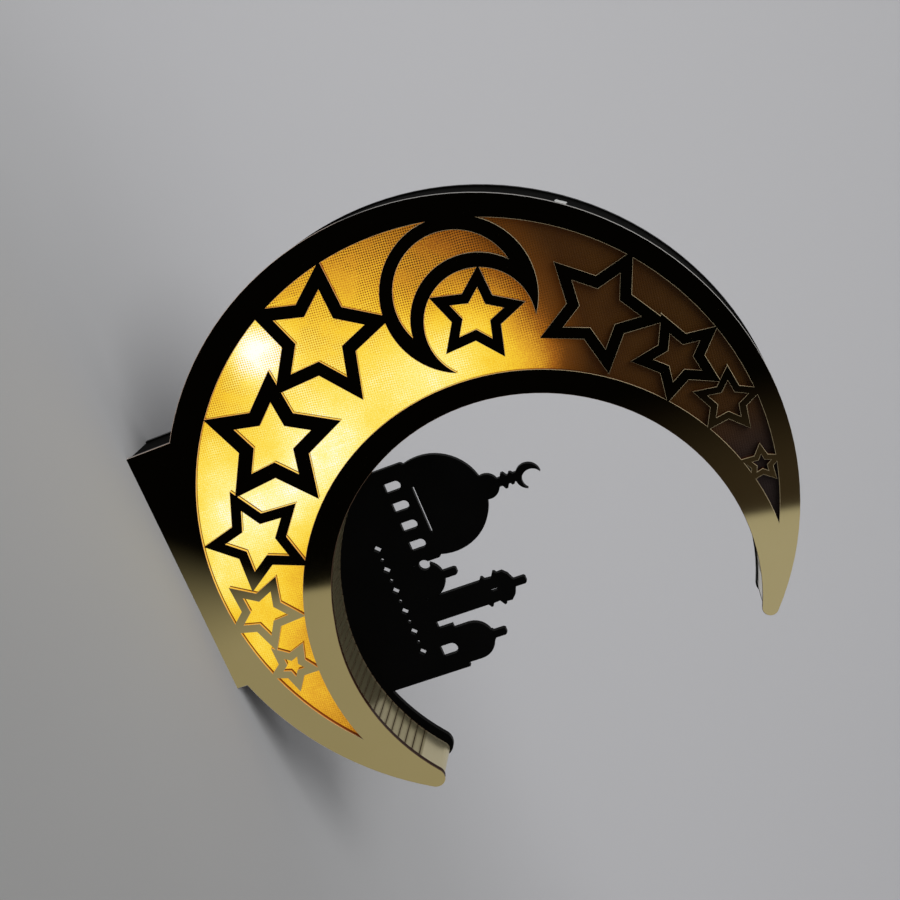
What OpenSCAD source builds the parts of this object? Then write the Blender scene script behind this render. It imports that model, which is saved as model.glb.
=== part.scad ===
// Eid crescent table ornament: a glued acrylic light box in the shape of a moon,
// with a mosque silhouette in its opening and a battery light inside.
// +Z is up, the front faces -Y, and the origin is the middle of the foot's underside.

/* [Moon] */
// Radius of the moon's outer edge
moon_r = 100; // [90:1:110]
// Width of the crescent at its thickest
belly_w = 67.5; // [64:0.5:70]
// Direction from the moon's centre to where the bite meets its edge, off the opening's middle
mouth_angle = 25.8; // [24:0.2:27]
// Direction in which the crescent opens, up from level
bite_angle = 14.4; // [10:0.2:18]
// How far the front layers' bite is drawn towards the opening, thinning the lower horn
horn_shift = 3.4; // [2:0.1:4]
// Direction from the bite's centre in which that thinning starts
horn_angle = 255; // [248:1:260]
// Radius that rounds the back plate's lower tip
low_tip_r = 5; // [4.8:0.1:5.4]
// Radius that rounds the front layers' lower tip
horn_tip_r = 3.4; // [3:0.1:3.8]
// Radius that rounds the upper tip
high_tip_r = 2.5; // [2.2:0.1:3.5]

/* [Foot] */
// Width of the flat foot
foot_w = 86; // [76:1:92]
// How far the moon's centre lies to the right of the foot's middle
foot_shift = 12.5; // [8:0.5:14]
// How much the foot's flat cuts off the bottom of the round edge
foot_cut = 1; // [0.5:0.1:2]
// Thickness of the foot's floor panel
floor_t = 3; // [2:0.5:4]

/* [Layers] */
// Thickness of the mirror plate at the front
mirror_t = 2; // [1.5:0.1:2.5]
// Thickness of the amber textured sheet behind it
sheet_t = 0.5; // [0.4:0.1:1]
// Width of the wall strips, front to back
wall_w = 17; // [15:0.5:22]
// Thickness of the wall strips
wall_t = 1.5; // [1:0.1:1.6]
// Thickness of the black back plate
back_t = 2; // [2:0.1:4]
// How far the walls stand in from the plates' edges
edge_inset = 0.5; // [0.2:0.1:0.6]
// How far the amber sheet stands in from the mirror plate's edge
sheet_inset = 0.3; // [0.2:0.1:0.6]

/* [Window] */
// Width of the rim outside the window, at the moon's sides
outer_rim = 7.8; // [7:0.1:12]
// Height of the window's outer circle above the moon's centre
window_rise = 1.9; // [1:0.1:2.5]
// How much larger the radius of the window's inner edge is than the bite's
inner_rim = 9.5; // [8:0.1:11]
// How much further from the moon's centre than the bite the window's inner edge is centred
inner_rim_push = 1.9; // [1:0.1:2.5]
// How much less the window's inner edge is turned up than the bite
inner_rim_turn = 1.7; // [0.5:0.1:3]
// Inner corners of a star as a share of its points' reach
star_waist_share = 0.51; // [0.45:0.01:0.6]

/* [Walls] */
// Distance between the bending cuts of the inner wall
kerf_pitch = 3.1; // [2.4:0.1:3.6]
// Width of a bending cut
kerf_w = 0.35; // [0.2:0.05:0.5]
// Depth of a bending cut
kerf_d = 0.8; // [0.4:0.1:0.9]
// Plain length at each end of the inner wall
plain_l = 8.5; // [6:0.5:12]
// Direction from the moon's centre to the seam of the outer wall
seam_angle = 143.7; // [142:0.1:146]
// Length of the splice behind the seam
splice_l = 14; // [10:1:18]
// Width of the splice
splice_w = 12; // [8:1:14]
// Length of the sheet's locating tab beside the seam
tab_l = 3.4; // [2:0.1:5]

/* [Mosque] */
// Width of the mosque's wall
mosque_w = 76; // [72:1:77]
// Left end of the mosque's wall, left of the moon's centre
mosque_left = 18.7; // [17:0.1:19]
// How far the roof line lies below the moon's centre
roof_drop = 32; // [30:0.5:36]
// How far the great dome swells past its foot on the drum
dome_swell = 0.7; // [0.4:0.1:1.5]
// Width of the drum under the great dome
drum_w = 35.2; // [34:0.2:37]
// Height of the drum
drum_h = 11.3; // [9:0.1:12]
// Radius of the ball on the great dome
ball_r = 4.3; // [3:0.1:5]
// Length of the staff above the ball
staff_l = 8; // [6:0.5:10]
// Radius of the small crescent on the staff
finial_r = 4.3; // [3:0.1:5]
// Radius of the small dome
small_dome_r = 6.5; // [5:0.1:6.7]
// Height of the minaret above the roof line
minaret_h = 34.6; // [28:0.2:40]
// Half width of the minaret's shaft
minaret_half = 4.4; // [3.5:0.1:4.6]
// Width of the hall at the right
hall_w = 13.6; // [12:0.1:14]
// Height of the hall's walls above the roof line
hall_h = 10.1; // [8:0.1:14]
// Width of the hall's plinth
plinth_w = 16.6; // [15:0.1:17]
// Height of the plinth above the roof line
plinth_h = 5.1; // [3:0.1:6]
// Width of each pin on the small dome and the hall
pin_w = 2.7; // [2:0.1:3.5]
// Width of the arched windows in the drum
arch_w = 3.3; // [2.5:0.1:4]
// Height of the arched windows
arch_h = 5.6; // [4.5:0.1:6.5]
// Width of the door in the hall
door_w = 4.1; // [3:0.1:5]
// Height of the door
door_h = 5.8; // [4:0.1:7]
// Half width of the lozenges cut along the wall
lozenge_r = 1.4; // [1:0.1:1.8]

/* [Battery case] */
// Direction from the moon's centre to the case
case_angle = 127; // [125:0.5:129]
// Distance from the moon's edge in to the middle of the case
case_margin = 26; // [25:0.5:27]
// Wall thickness of the tub
tub_t = 1.2; // [1:0.1:1.4]
// Width of the flange round the tub
flange_w = 3; // [2.5:0.1:3.2]
// Thickness of the flange
flange_t = 1.5; // [1:0.1:2]
// Thickness of the tape under the flange
tape_t = 0.4; // [0.2:0.1:0.8]
// Length of the switch chamber
chamber_l = 11; // [10:0.5:11.5]
// Diameter of an AAA cell
cell_d = 10.5; // [10:0.1:10.6]
// Length of a cell without its nub
cell_l = 43.6; // [43:0.1:44]
// Gap between the two cells
cell_gap = 1.3; // [0.6:0.1:1.6]
// Gap between a cell and the tub's side
bay_gap = 1.15; // [0.8:0.05:1.5]
// Length of a contact spring with the cells in
spring_l = 5.15; // [4:0.05:6]
// Thickness of the door's tongues
tongue_t = 1; // [0.8:0.1:1.4]
// Full thickness of the door
door_t = 2.15; // [1.8:0.05:2.6]
// How far the door slides to come off
door_travel = 52; // [30:1:56]
// How far the switch knob slides
knob_travel = 2; // [1.5:0.1:2.5]

/* [Light] */
// Diameter of a light-emitting diode
led_d = 5; // [3:0.5:5]
// Length of a diode
led_l = 8.6; // [6:0.1:9]
// Diameter of the light string's cord
cord_d = 1.4; // [1:0.1:1.8]
// Thickness of the pads under the cord
pad_t = 0.8; // [0.5:0.1:1.2]
// Diameter of the pads
pad_d = 8; // [6:0.5:10]

/* [Hidden] */
$fn = 96;
led_count = 5;

// How far a cut runs past the face that it opens
over = 1;
// Gap between pieces that lie against each other but aren't glued flat
seat_gap = 0.05;

// Depths of the layers, front to back
total_depth = mirror_t + sheet_t + wall_w + back_t;
front_y = -total_depth / 2;
sheet_y = front_y + mirror_t;
wall_y = sheet_y + sheet_t;
back_y = wall_y + wall_w;
rear_y = back_y + back_t;

// The moon's centre, seen from the foot
moon_z = moon_r - foot_cut;
foot_left = -foot_w / 2 - foot_shift;
foot_right = foot_w / 2 - foot_shift;
foot_top = -sqrt(pow(moon_r, 2) - pow(foot_left, 2));

// The bite runs through its two points on the moon's edge and leaves the belly's width
belly_x = moon_r - belly_w;
bite_offset = (pow(moon_r, 2) - pow(belly_x, 2)) / (2 * (belly_x + moon_r * cos(mouth_angle)));
bite_r = bite_offset + belly_x;
window_r = moon_r - outer_rim;
window_bite_r = bite_r + inner_rim;

// Places of the bite, of the bite that thins the lower horn, and of the window's inner edge
bite = bite_offset * [cos(bite_angle), sin(bite_angle)];
horn_bite = bite + horn_shift * [cos(horn_angle + 90), sin(horn_angle + 90)];
window_bite = (bite_offset + inner_rim_push)
  * [cos(bite_angle - inner_rim_turn), sin(bite_angle - inner_rim_turn)];

function bearing(p) = atan2(p[1], p[0]);

// Where a circle of radius r1 round the moon's centre crosses one of radius r2
// round a bite's centre: side is 1 for the upper crossing and -1 for the lower
function crossing(r1, centre, r2, side) =
  let (d = norm(centre), along = (pow(r1, 2) - pow(r2, 2) + pow(d, 2)) / (2 * d),
       across = side * sqrt(pow(r1, 2) - pow(along, 2)))
  (along * centre + across * [-centre[1], centre[0]]) / d;

function tip_centre(tip_r, centre, side) = crossing(moon_r - tip_r, centre, bite_r + tip_r, side);
low_tip = tip_centre(low_tip_r, bite, -1);
horn_tip = tip_centre(horn_tip_r, horn_bite, -1);
high_tip = tip_centre(high_tip_r, bite, 1);

// Radius of the outer wall's hidden face, and of the inner wall's visible one
outer_back_r = moon_r - edge_inset - wall_t;
inner_face_r = bite_r + edge_inset;

// Distance from the moon's centre, in direction a, to the far side of a circle
function edge_at(centre, r, a) =
  let (along = centre * [cos(a), sin(a)])
  along + sqrt(pow(r, 2) - centre * centre + pow(along, 2));
function window_low(a) = edge_at(window_bite, window_bite_r, a);
function window_w(a) = edge_at([0, window_rise], window_r, a) - window_low(a);
function window_point(a, share) = (window_low(a) + share * window_w(a)) * [cos(a), sin(a)];

// Stars of the front plate, largest first down each side of the moon: direction from
// the moon's centre, then the place across the window, the cut star's reach and its
// band's reach as shares of the window's width there, and the lean from upright
star_shares = [
  [199.1, 0.654, 0.292, 0.462, -5.6],
  [229.5, 0.506, 0.282, 0.500, -2.8],
  [257.5, 0.486, 0.309, 0.507, 23.5],
  [276.1, 0.590, 0.322, 0.536, -23.4],
  [290.7, 0.548, 0.244, 0.572, -26.7],
  [157.9, 0.397, 0.177, 0.312, -5.3],
  [128.5, 0.545, 0.311, 0.501, -31],
  [108.1, 0.518, 0.272, 0.500, 20.2],
  [94.7, 0.567, 0.324, 0.548, 0.5],
  [80.1, 0.507, 0.345, 0.711, 5.9]];

// Circles of the little moon cut in the front plate: place across and up from the middle
// of the window at little_angle, and radius, as shares of the window's width there
little_angle = 162.5;
little_outer_shares = [-0.032, 0.011, 0.483];
little_inner_shares = [0.174, 0.070, 0.344];
little_window_shares = [-0.050, 0.000, 0.385];
little_window_bite_shares = [0.162, 0.070, 0.421];

// Places of the diodes as shares of the moon's radius
led_shares = [[-0.438, 0.138], [-0.398, -0.304], [-0.745, -0.444], [-0.185, -0.555],
  [0.021, -0.854]];

// Flat shapes are drawn in the moon's own plane, round its centre. slab() lays one
// in the object at depth y with thickness t.
module slab(y, t) {
  translate([foot_shift, y + t, moon_z]) rotate([90, 0, 0]) linear_extrude(t) children();
}

module little_circle(shares) {
  w = window_w(little_angle);
  translate(window_point(little_angle, 0.5) + w * [shares[0], shares[1]]) circle(w * shares[2]);
}

// What is cut away past a rounded tip
module past_tip(tip, centre, side) {
  point = crossing(moon_r, centre, bite_r, side);
  reach = norm(point - tip);
  out_dir = tip / norm(tip);
  in_dir = (centre - tip) / norm(centre - tip);
  polygon([tip, tip + reach * out_dir, 2 * point - tip, tip + reach * in_dir]);
}

// The bite with its edge moved out by grow. Below its middle the front layers' bite is
// drawn towards the opening.
module bite_shape(grow, thin) {
  translate(bite) circle(bite_r + grow);
  if (thin) translate(horn_bite) intersection() {
    circle(bite_r + grow);
    rotate(horn_angle - 90) translate([-moon_r, 0]) square([2 * moon_r, moon_r]);
  }
}

// The crescent with its foot, with every edge moved in by inset. The front layers are
// the thin ones, with the thinner lower horn. A tip's round stands tip_proud past the
// long edges that it ends.
tip_proud = 0.02;
module moon_shape(inset, thin) {
  low = thin ? horn_tip : low_tip;
  low_r = thin ? horn_tip_r : low_tip_r;
  difference() {
    union() {
      circle(moon_r - inset);
      translate([foot_left + inset, -moon_z])
        square([foot_w - 2 * inset, moon_z + foot_top + foot_cut]);
    }
    translate([-moon_r, inset - moon_z - moon_r]) square([2 * moon_r, moon_r]);
    bite_shape(inset, thin);
    past_tip(low, thin ? horn_bite : bite, -1);
    past_tip(high_tip, bite, 1);
  }
  translate(low) circle(low_r - inset + tip_proud);
  translate(high_tip) circle(high_tip_r - inset + tip_proud);
}

// A five-pointed star: reach is to its points, lean turns it from upright
module star(reach, lean) {
  polygon([for (i = [0:9])
    (i % 2 == 0 ? reach : reach * star_waist_share)
      * [sin(i * 36 - lean), cos(i * 36 - lean)]]);
}

module place_star(s, share) {
  translate(window_point(s[0], s[1])) star(window_w(s[0]) * share, s[4]);
}

module window_shape() {
  difference() {
    translate([0, window_rise]) circle(window_r);
    translate(window_bite) circle(window_bite_r);
  }
}

module bands_shape() {
  for (s = star_shares) place_star(s, s[3]);
  difference() {
    little_circle(little_outer_shares);
    little_circle(little_inner_shares);
  }
}

module lights_shape() {
  for (s = star_shares) place_star(s, s[2]);
  difference() {
    little_circle(little_window_shares);
    little_circle(little_window_bite_shares);
  }
}

module front_plate() {
  color("gold") slab(front_y, mirror_t) difference() {
    moon_shape(0, true);
    difference() {
      window_shape();
      bands_shape();
    }
    lights_shape();
  }
}

// The sheet's tab reaches the plate's edge beside the seam
module amber_sheet() {
  color("orange") slab(sheet_y, sheet_t) {
    moon_shape(sheet_inset, true);
    intersection() {
      circle(moon_r);
      rotate(seam_angle) translate([moon_r - low_tip_r, -tab_l / 2]) square([low_tip_r, tab_l]);
    }
  }
}

// A curved strip seen from the front: thickness t outside radius r, between two directions
module ring_sector(centre, r, t, a1, a2) {
  reach = 2 * (r + t);
  translate(centre) intersection() {
    difference() {
      circle(r + t);
      circle(r);
    }
    polygon([[0, 0], for (a = [a1, (a1 + a2) / 2, a2]) reach * [cos(a), sin(a)]]);
  }
}

// The upper strip turns round the upper tip and ends against the inner wall. At the lower
// tip the inner wall turns. A turn is a little thicker than its strip and laps back into it.
turn_proud = 0.05;
turn_lap = 25;
module tip_turn(tip, tip_r, a1, a2) {
  ring_sector(tip, tip_r - edge_inset - wall_t - turn_proud, wall_t + 2 * turn_proud, a1, a2);
}

seam_half = seat_gap / 2 / moon_r * 180 / PI;

module upper_outer_wall() {
  color("#2b2620") slab(wall_y, wall_w) {
    ring_sector([0, 0], outer_back_r, wall_t, bearing(high_tip), seam_angle - seam_half);
    tip_turn(high_tip, high_tip_r, bearing(bite - high_tip), bearing(high_tip) + turn_lap);
  }
}

// The strip ends upright against the foot's left end
left_x = foot_left + edge_inset;
right_x = foot_right - edge_inset;
module lower_outer_wall() {
  color("#2b2620") slab(wall_y, wall_w) difference() {
    ring_sector([0, 0], outer_back_r, wall_t, seam_angle + seam_half, 270);
    translate([left_x, -2 * moon_r]) square([moon_r, 2 * moon_r]);
  }
}

module tip_outer_wall() {
  color("#2b2620") slab(wall_y, wall_w) difference() {
    ring_sector([0, 0], outer_back_r, wall_t, 270, 360 + bearing(horn_tip));
    translate([right_x - moon_r, -2 * moon_r]) square([moon_r, 2 * moon_r]);
  }
}

// The inner wall bends round the bite and then round the horn's bite. Seen from their
// centres, the two arcs cross horn_swing to either side of horn_angle.
horn_swing = asin(horn_shift / 2 / inner_face_r);
start_angle = bearing(high_tip - bite);
end_angle = 360 + bearing(horn_tip - horn_bite);

module inner_wall_shape() {
  difference() {
    bite_shape(edge_inset + wall_t, true);
    bite_shape(edge_inset, true);
    polygon([bite, bite + 2 * moon_r * [cos(start_angle), sin(start_angle)],
      horn_bite + 2 * moon_r * [cos(end_angle), sin(end_angle)], horn_bite]);
  }
}

// One bending cut across the wall's visible face
module kerf(centre, a) {
  translate([foot_shift + centre[0], back_y, moon_z + centre[1]]) rotate([90, 0, 0])
    rotate([0, 0, a]) translate([inner_face_r - over, -kerf_w / 2, -over])
      cube([over + kerf_d, kerf_w, wall_w + 2 * over]);
}

// The cuts lie evenly between the wall's two plain ends
module inner_wall() {
  plain = plain_l / inner_face_r * 180 / PI;
  bend = end_angle - start_angle + 2 * (horn_swing - plain);
  cuts = floor(bend * PI / 180 * inner_face_r / kerf_pitch);
  color("#c9bd93") difference() {
    slab(wall_y, wall_w) {
      inner_wall_shape();
      tip_turn(horn_tip, horn_tip_r, bearing(horn_tip), bearing(horn_bite - horn_tip) + turn_lap);
    }
    for (i = [0:cuts]) {
      a = start_angle + plain + i * bend / cuts;
      if (a < horn_angle + horn_swing) kerf(bite, a);
      else kerf(horn_bite, a - 2 * horn_swing);
    }
  }
}

module seam_splice() {
  half = splice_l / 2 / outer_back_r * 180 / PI;
  color("#6d6350") slab(wall_y + (wall_w - splice_w) / 2, splice_w)
    ring_sector([0, 0], outer_back_r - wall_t, wall_t, seam_angle - half, seam_angle + half);
}

// The mosque: every place is worked out from the wall, the roof line and the parts' sizes
roof_z = -roof_drop;
shoulder_w = 0.8;
shoulder_r = 1.5;
wall_right = mosque_w - mosque_left;
dome_x = drum_w / 2 - mosque_left;
dome_foot = drum_w / 2 - shoulder_w;
dome_r = dome_foot + dome_swell;
dome_z = roof_z + drum_h + sqrt(pow(dome_r, 2) - pow(dome_foot, 2));
side_lap = 0.1;
small_dome_x = dome_x + drum_w / 2 + small_dome_r - side_lap;
minaret_x = small_dome_x + small_dome_r - side_lap + minaret_half;
hall_x = wall_right - plinth_w / 2;

// An arched hole of width w and height h that stands on [x, z]
module arch(x, z, w, h) {
  translate([x - w / 2, z]) square([w, h - w / 2]);
  translate([x, z + h - w / 2]) circle(w / 2);
}

// A shape that is the same left and right of [x, z]: its right side is given from
// the bottom up as shares of a half width and a height
module turned(x, z, half, h, shares) {
  last = len(shares) - 1;
  translate([x, z]) polygon(concat(
    [for (s = shares) [s[0] * half, s[1] * h]],
    [for (i = [last:-1:0]) [-shares[i][0] * half, shares[i][1] * h]]));
}

staff_shares = [[1, 0], [1, 0.22], [1.9, 0.3], [1.9, 0.4], [1, 0.5], [1, 0.56],
  [1.5, 0.62], [1.5, 0.7], [1, 0.78], [1, 1]];
minaret_shares = [[1, 0], [1, 0.56], [1.27, 0.584], [1.25, 0.6], [1.02, 0.618],
  [0.98, 0.682], [1.41, 0.717], [1.36, 0.737], [1.2, 0.749], [1.23, 0.803],
  [0.86, 0.85], [0.43, 0.873], [0.3, 0.884], [0.3, 0.985], [0.2, 1]];
small_pin_shares = [[1, 0], [1, 0.85], [0.65, 1]];
hall_pin_shares = [[1.35, 0], [1.35, 0.1], [0.95, 0.16], [0.95, 0.88], [0.6, 1]];

staff_half = ball_r / 3;
notch_r = drum_h / 6;
small_dome_z = roof_z + small_dome_r * 0.42;
pin_l = 1.7 * pin_w;
ball_z = dome_z + dome_r + ball_r / 7;
finial_z = ball_z + ball_r * 0.8 + staff_l + finial_r * 0.64;

module great_dome() {
  translate([dome_x - drum_w / 2, roof_z - over]) square([drum_w, drum_h - shoulder_r + over]);
  translate([dome_x - drum_w / 2 + shoulder_r, roof_z])
    square([drum_w - 2 * shoulder_r, drum_h]);
  for (side = [-1, 1])
    translate([dome_x + side * (drum_w / 2 - shoulder_r), roof_z + drum_h - shoulder_r])
      circle(shoulder_r);
  translate([dome_x, dome_z]) circle(dome_r);
  translate([dome_x, ball_z]) circle(ball_r);
  turned(dome_x, ball_z + ball_r * 0.8, staff_half, staff_l, staff_shares);
  difference() {
    translate([dome_x + finial_r / 4, finial_z]) circle(finial_r);
    translate([dome_x + finial_r / 4, finial_z] + finial_r * [0.35, 0.25])
      circle(finial_r * 0.83);
  }
}

module small_dome() {
  translate([small_dome_x, small_dome_z]) circle(small_dome_r);
  turned(small_dome_x, small_dome_z + small_dome_r * 0.9, pin_w / 2, pin_l + pin_w / 4,
    small_pin_shares);
}

module hall() {
  translate([hall_x - plinth_w / 2, roof_z - over]) square([plinth_w, plinth_h + over]);
  translate([hall_x - hall_w / 2, roof_z]) square([hall_w, hall_h]);
  translate([hall_x, roof_z + hall_h]) circle(hall_w / 2);
  turned(hall_x, roof_z + hall_h + hall_w * 0.47, pin_w / 2, pin_l + pin_w / 6,
    hall_pin_shares);
}

// The wall under the roof line fills the bottom of the bite
module mosque_wall() {
  intersection() {
    translate([wall_right, roof_z]) rotate(180) square([2 * bite_r, bite_r]);
    translate(bite) circle(bite_r + over);
  }
}

arch_pitch = drum_w * 0.206;
arch_sill = arch_h * 0.41;
slit_l = drum_w * 0.48;
slit_h = 0.75;
slot_w = minaret_half * 0.19;
door_drop = door_h * 0.38;
lozenge_drop = drum_h * 0.75;
lozenge_pitch = mosque_w / 9.5;
dot_r = lozenge_r * 0.45;

// What is cut through the mosque: arches, a slit, a slot, the door and lozenges
module mosque_holes() {
  for (i = [-1.5:1:1.5]) arch(dome_x + i * arch_pitch, roof_z + arch_sill, arch_w, arch_h);
  translate([dome_x - slit_l / 2, roof_z + drum_h - slit_h / 2]) square([slit_l, slit_h]);
  translate([minaret_x - slot_w / 2, roof_z + minaret_h * 0.636])
    square([slot_w, minaret_h * 0.066]);
  arch(hall_x, roof_z - door_drop, door_w, door_h);
  for (i = [0:5]) {
    translate([dome_x + (i + 1) * lozenge_pitch, roof_z - lozenge_drop])
      polygon(lozenge_r * [[1, 0], [0, 1], [-1, 0], [0, -1]]);
    if (i < 5) translate([dome_x + (i + 1.5) * lozenge_pitch, roof_z - lozenge_drop])
      circle(dot_r);
  }
  translate([dome_x + drum_w / 2 + notch_r / 2, roof_z + drum_h * 0.38]) circle(notch_r);
}

// The case's own frame: its origin is on the back plate's rear face, +X runs along the
// case away from the switch, +Y points out of the back and +Z away from the moon's centre
case_place = (moon_r - case_margin) * [cos(case_angle), sin(case_angle)];
case_along = [sin(case_angle), -cos(case_angle)];
module at_case() {
  translate([foot_shift + case_place[0], rear_y, moon_z + case_place[1]])
    rotate([0, 90 - case_angle, 0]) children();
}

module block(low, high) {
  translate(low) cube(high - low);
}

// Running gaps of the door and the clearance round the tub
door_gap = 0.1;
slide_gap = 0.15;
tub_gap = 0.5;
contact_t = 0.4;
bump_h = 0.8;
nub_l = 0.9;
tub_x = (3 * tub_t + chamber_l + 2 * contact_t + bump_h + nub_l + cell_l + spring_l
  + 3 * seat_gap) / 2;
cell_pitch = cell_d + cell_gap;
tub_z = (cell_pitch + cell_d) / 2 + bay_gap + tub_t;
flange_x = tub_x + flange_w;
flange_z = tub_z + flange_w;
flange_y = tape_t + flange_t;
door_y = flange_y + door_gap;
face_y = door_y + door_t;
lip_y = door_y + tongue_t + slide_gap;
bay_x1 = tub_t + chamber_l + tub_t - tub_x;
bay_x2 = tub_x - tub_t;
bay_z = tub_z - tub_t;
cell_drop = 0.4;
cell_y = flange_y - cell_drop - cell_d / 2;
bay_y = cell_y - cell_d / 2 - seat_gap;
tub_y = bay_y - tub_t;
face_x = bay_x1 - tub_t / 2;
door_x = face_x + 2 * door_gap;
web_t = flange_w * 0.6;
web_z = flange_z - web_t;
tongue_z = web_z - slide_gap;
lip_w = 1.4;
lip_z = web_z - lip_w;
panel_z = lip_z - slide_gap;
switch_x = bay_x1 - tub_t - chamber_l * 0.56;

module back_plate() {
  color("#1c1a18") difference() {
    slab(back_y, back_t) difference() {
      union() {
        moon_shape(0, false);
        mosque_wall();
        great_dome();
        small_dome();
        turned(minaret_x, roof_z, minaret_half, minaret_h, minaret_shares);
        hall();
      }
      mosque_holes();
    }
    at_case() block([-tub_x - tub_gap, -back_t - over, -tub_z - tub_gap],
      [tub_x + tub_gap, over, tub_z + tub_gap]);
  }
}

module foot_panel(x1, x2, h) {
  translate([foot_shift + x1, wall_y, 0]) cube([x2 - x1, wall_w, h]);
}

module foot_floor() {
  color("#1c1a18") foot_panel(left_x + wall_t, right_x - wall_t, floor_t);
}

module foot_left_end() {
  color("#2b2620")
    foot_panel(left_x, left_x + wall_t, moon_z - sqrt(pow(outer_back_r, 2) - pow(left_x, 2)));
}

module foot_right_end() {
  color("#2b2620")
    foot_panel(right_x - wall_t, right_x, moon_z - sqrt(pow(outer_back_r, 2) - pow(right_x, 2)));
}

// Sizes of the knob, the cord's hole and the leads
knob_x = 0.8;
knob_z = 1.2;
knob_rise = 1.15;
hole_gap = 0.2;
lead_d = 1;
lead_y = flange_y - 3.9 * lead_d;
lead_z = bay_z * 0.73;
cord_y = back_y - pad_t - seat_gap - cord_d / 2;

module case_rail(side) {
  block([face_x - over, flange_y - over, side > 0 ? web_z : -flange_z],
    [flange_x, face_y, side > 0 ? flange_z : -web_z]);
  block([face_x - over, lip_y, side > 0 ? lip_z : -web_z - over],
    [flange_x, face_y, side > 0 ? web_z + over : -lip_z]);
}

module battery_case() {
  rib_z = (cell_pitch - cell_d) / 3;
  color("#202020") at_case() difference() {
    union() {
      block([-tub_x, tub_y, -tub_z], [tub_x, flange_y, tub_z]);
      block([-flange_x, tape_t, -flange_z], [flange_x, flange_y, flange_z]);
      block([-flange_x, tape_t, -flange_z], [face_x, face_y, flange_z]);
      case_rail(1);
      case_rail(-1);
    }
    difference() {
      block([bay_x1, bay_y, -bay_z], [bay_x2, flange_y + over, bay_z]);
      block([bay_x1 + cell_d / 2, bay_y - over, -rib_z],
        [bay_x2 - cell_d / 2, bay_y + cell_d / 4, rib_z]);
    }
    block([tub_t - tub_x, bay_y, -bay_z], [bay_x1 - tub_t, flange_y, bay_z]);
    block([switch_x - knob_x - hole_gap, flange_y - over, -knob_z - knob_travel / 2 - hole_gap],
      [switch_x + knob_x + hole_gap, face_y + over, knob_z + knob_travel / 2 + hole_gap]);
    translate([-tub_x - over, cord_y - rear_y, 0]) rotate([0, 90, 0])
      cylinder(h = tub_t + 2 * over, d = cord_d + 2 * hole_gap);
    for (side = [-1, 1]) translate([bay_x1 - tub_t - over, lead_y, side * lead_z])
      rotate([0, 90, 0]) cylinder(h = tub_t + 2 * over, d = lead_d + 2 * hole_gap);
  }
}

module case_tape() {
  color("#c8c2b4") at_case() difference() {
    block([-flange_x, 0, -flange_z], [flange_x, tape_t, flange_z]);
    block([-tub_x - tub_gap, -over, -tub_z - tub_gap],
      [tub_x + tub_gap, tape_t + over, tub_z + tub_gap]);
  }
}

rib_w = 0.8;
rib_rise = 0.4;
rib_pitch = 3 * rib_w;
rib_count = 5;
module battery_door() {
  grip_l = panel_z;
  color("#262626") at_case() {
    block([door_x, door_y, -tongue_z], [flange_x, door_y + tongue_t, tongue_z]);
    block([door_x, door_y, -panel_z], [flange_x, face_y, panel_z]);
    for (i = [1:rib_count]) translate([flange_x - i * rib_pitch, face_y - rib_rise, -grip_l / 2])
      cube([rib_w, 2 * rib_rise, grip_l]);
    translate([flange_x - (rib_count + 2) * rib_pitch, face_y + rib_rise, 0]) rotate([90, 0, 0])
      linear_extrude(2 * rib_rise) polygon(grip_l / 4 * [[0, -1], [1, 0], [0, 1]]);
  }
}

// The cells lie side by side the opposite way round, each with its nub on a bump
bump_d = 3;
nub_d = 3.8;
nub_x = bay_x1 + contact_t + bump_h + seat_gap;
module cell(side) {
  color(side > 0 ? "#b08a3c" : "#8d8f94") at_case()
    mirror([side > 0 ? 0 : 1, 0, 0])
      translate([side > 0 ? nub_x : nub_x - bay_x1 - bay_x2, cell_y, side * cell_pitch / 2])
        rotate([0, 90, 0]) {
          cylinder(h = nub_l + over, d = nub_d);
          translate([0, 0, nub_l]) cylinder(h = cell_l, d = cell_d);
        }
}
module cell_1() cell(1);
module cell_2() cell(-1);

contact_h = cell_d * 0.85;
contact_w = cell_pitch * 0.75;
module contact_plate(x1, z1, z2) {
  block([x1, cell_y - contact_h / 2, z1], [x1 + contact_t, cell_y + contact_h / 2, z2]);
}

module bridge_contact() {
  color("#c9ccd1") at_case() {
    contact_plate(bay_x2 - contact_t, -contact_w / 2 - cell_pitch / 2,
      contact_w / 2 + cell_pitch / 2);
    translate([bay_x2 - contact_t - bump_h, cell_y, -cell_pitch / 2])
      rotate([0, 90, 0]) cylinder(h = bump_h + contact_t / 2, d = bump_d);
  }
}

module positive_contact() {
  color("#c9ccd1") at_case() {
    contact_plate(bay_x1, (cell_pitch - contact_w) / 2, (cell_pitch + contact_w) / 2);
    translate([bay_x1 + contact_t / 2, cell_y, cell_pitch / 2])
      rotate([0, 90, 0]) cylinder(h = bump_h + contact_t / 2, d = bump_d);
  }
}

module negative_contact() {
  color("#c9ccd1") at_case()
    contact_plate(bay_x1, -(cell_pitch + contact_w) / 2, -(cell_pitch - contact_w) / 2);
}

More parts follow.
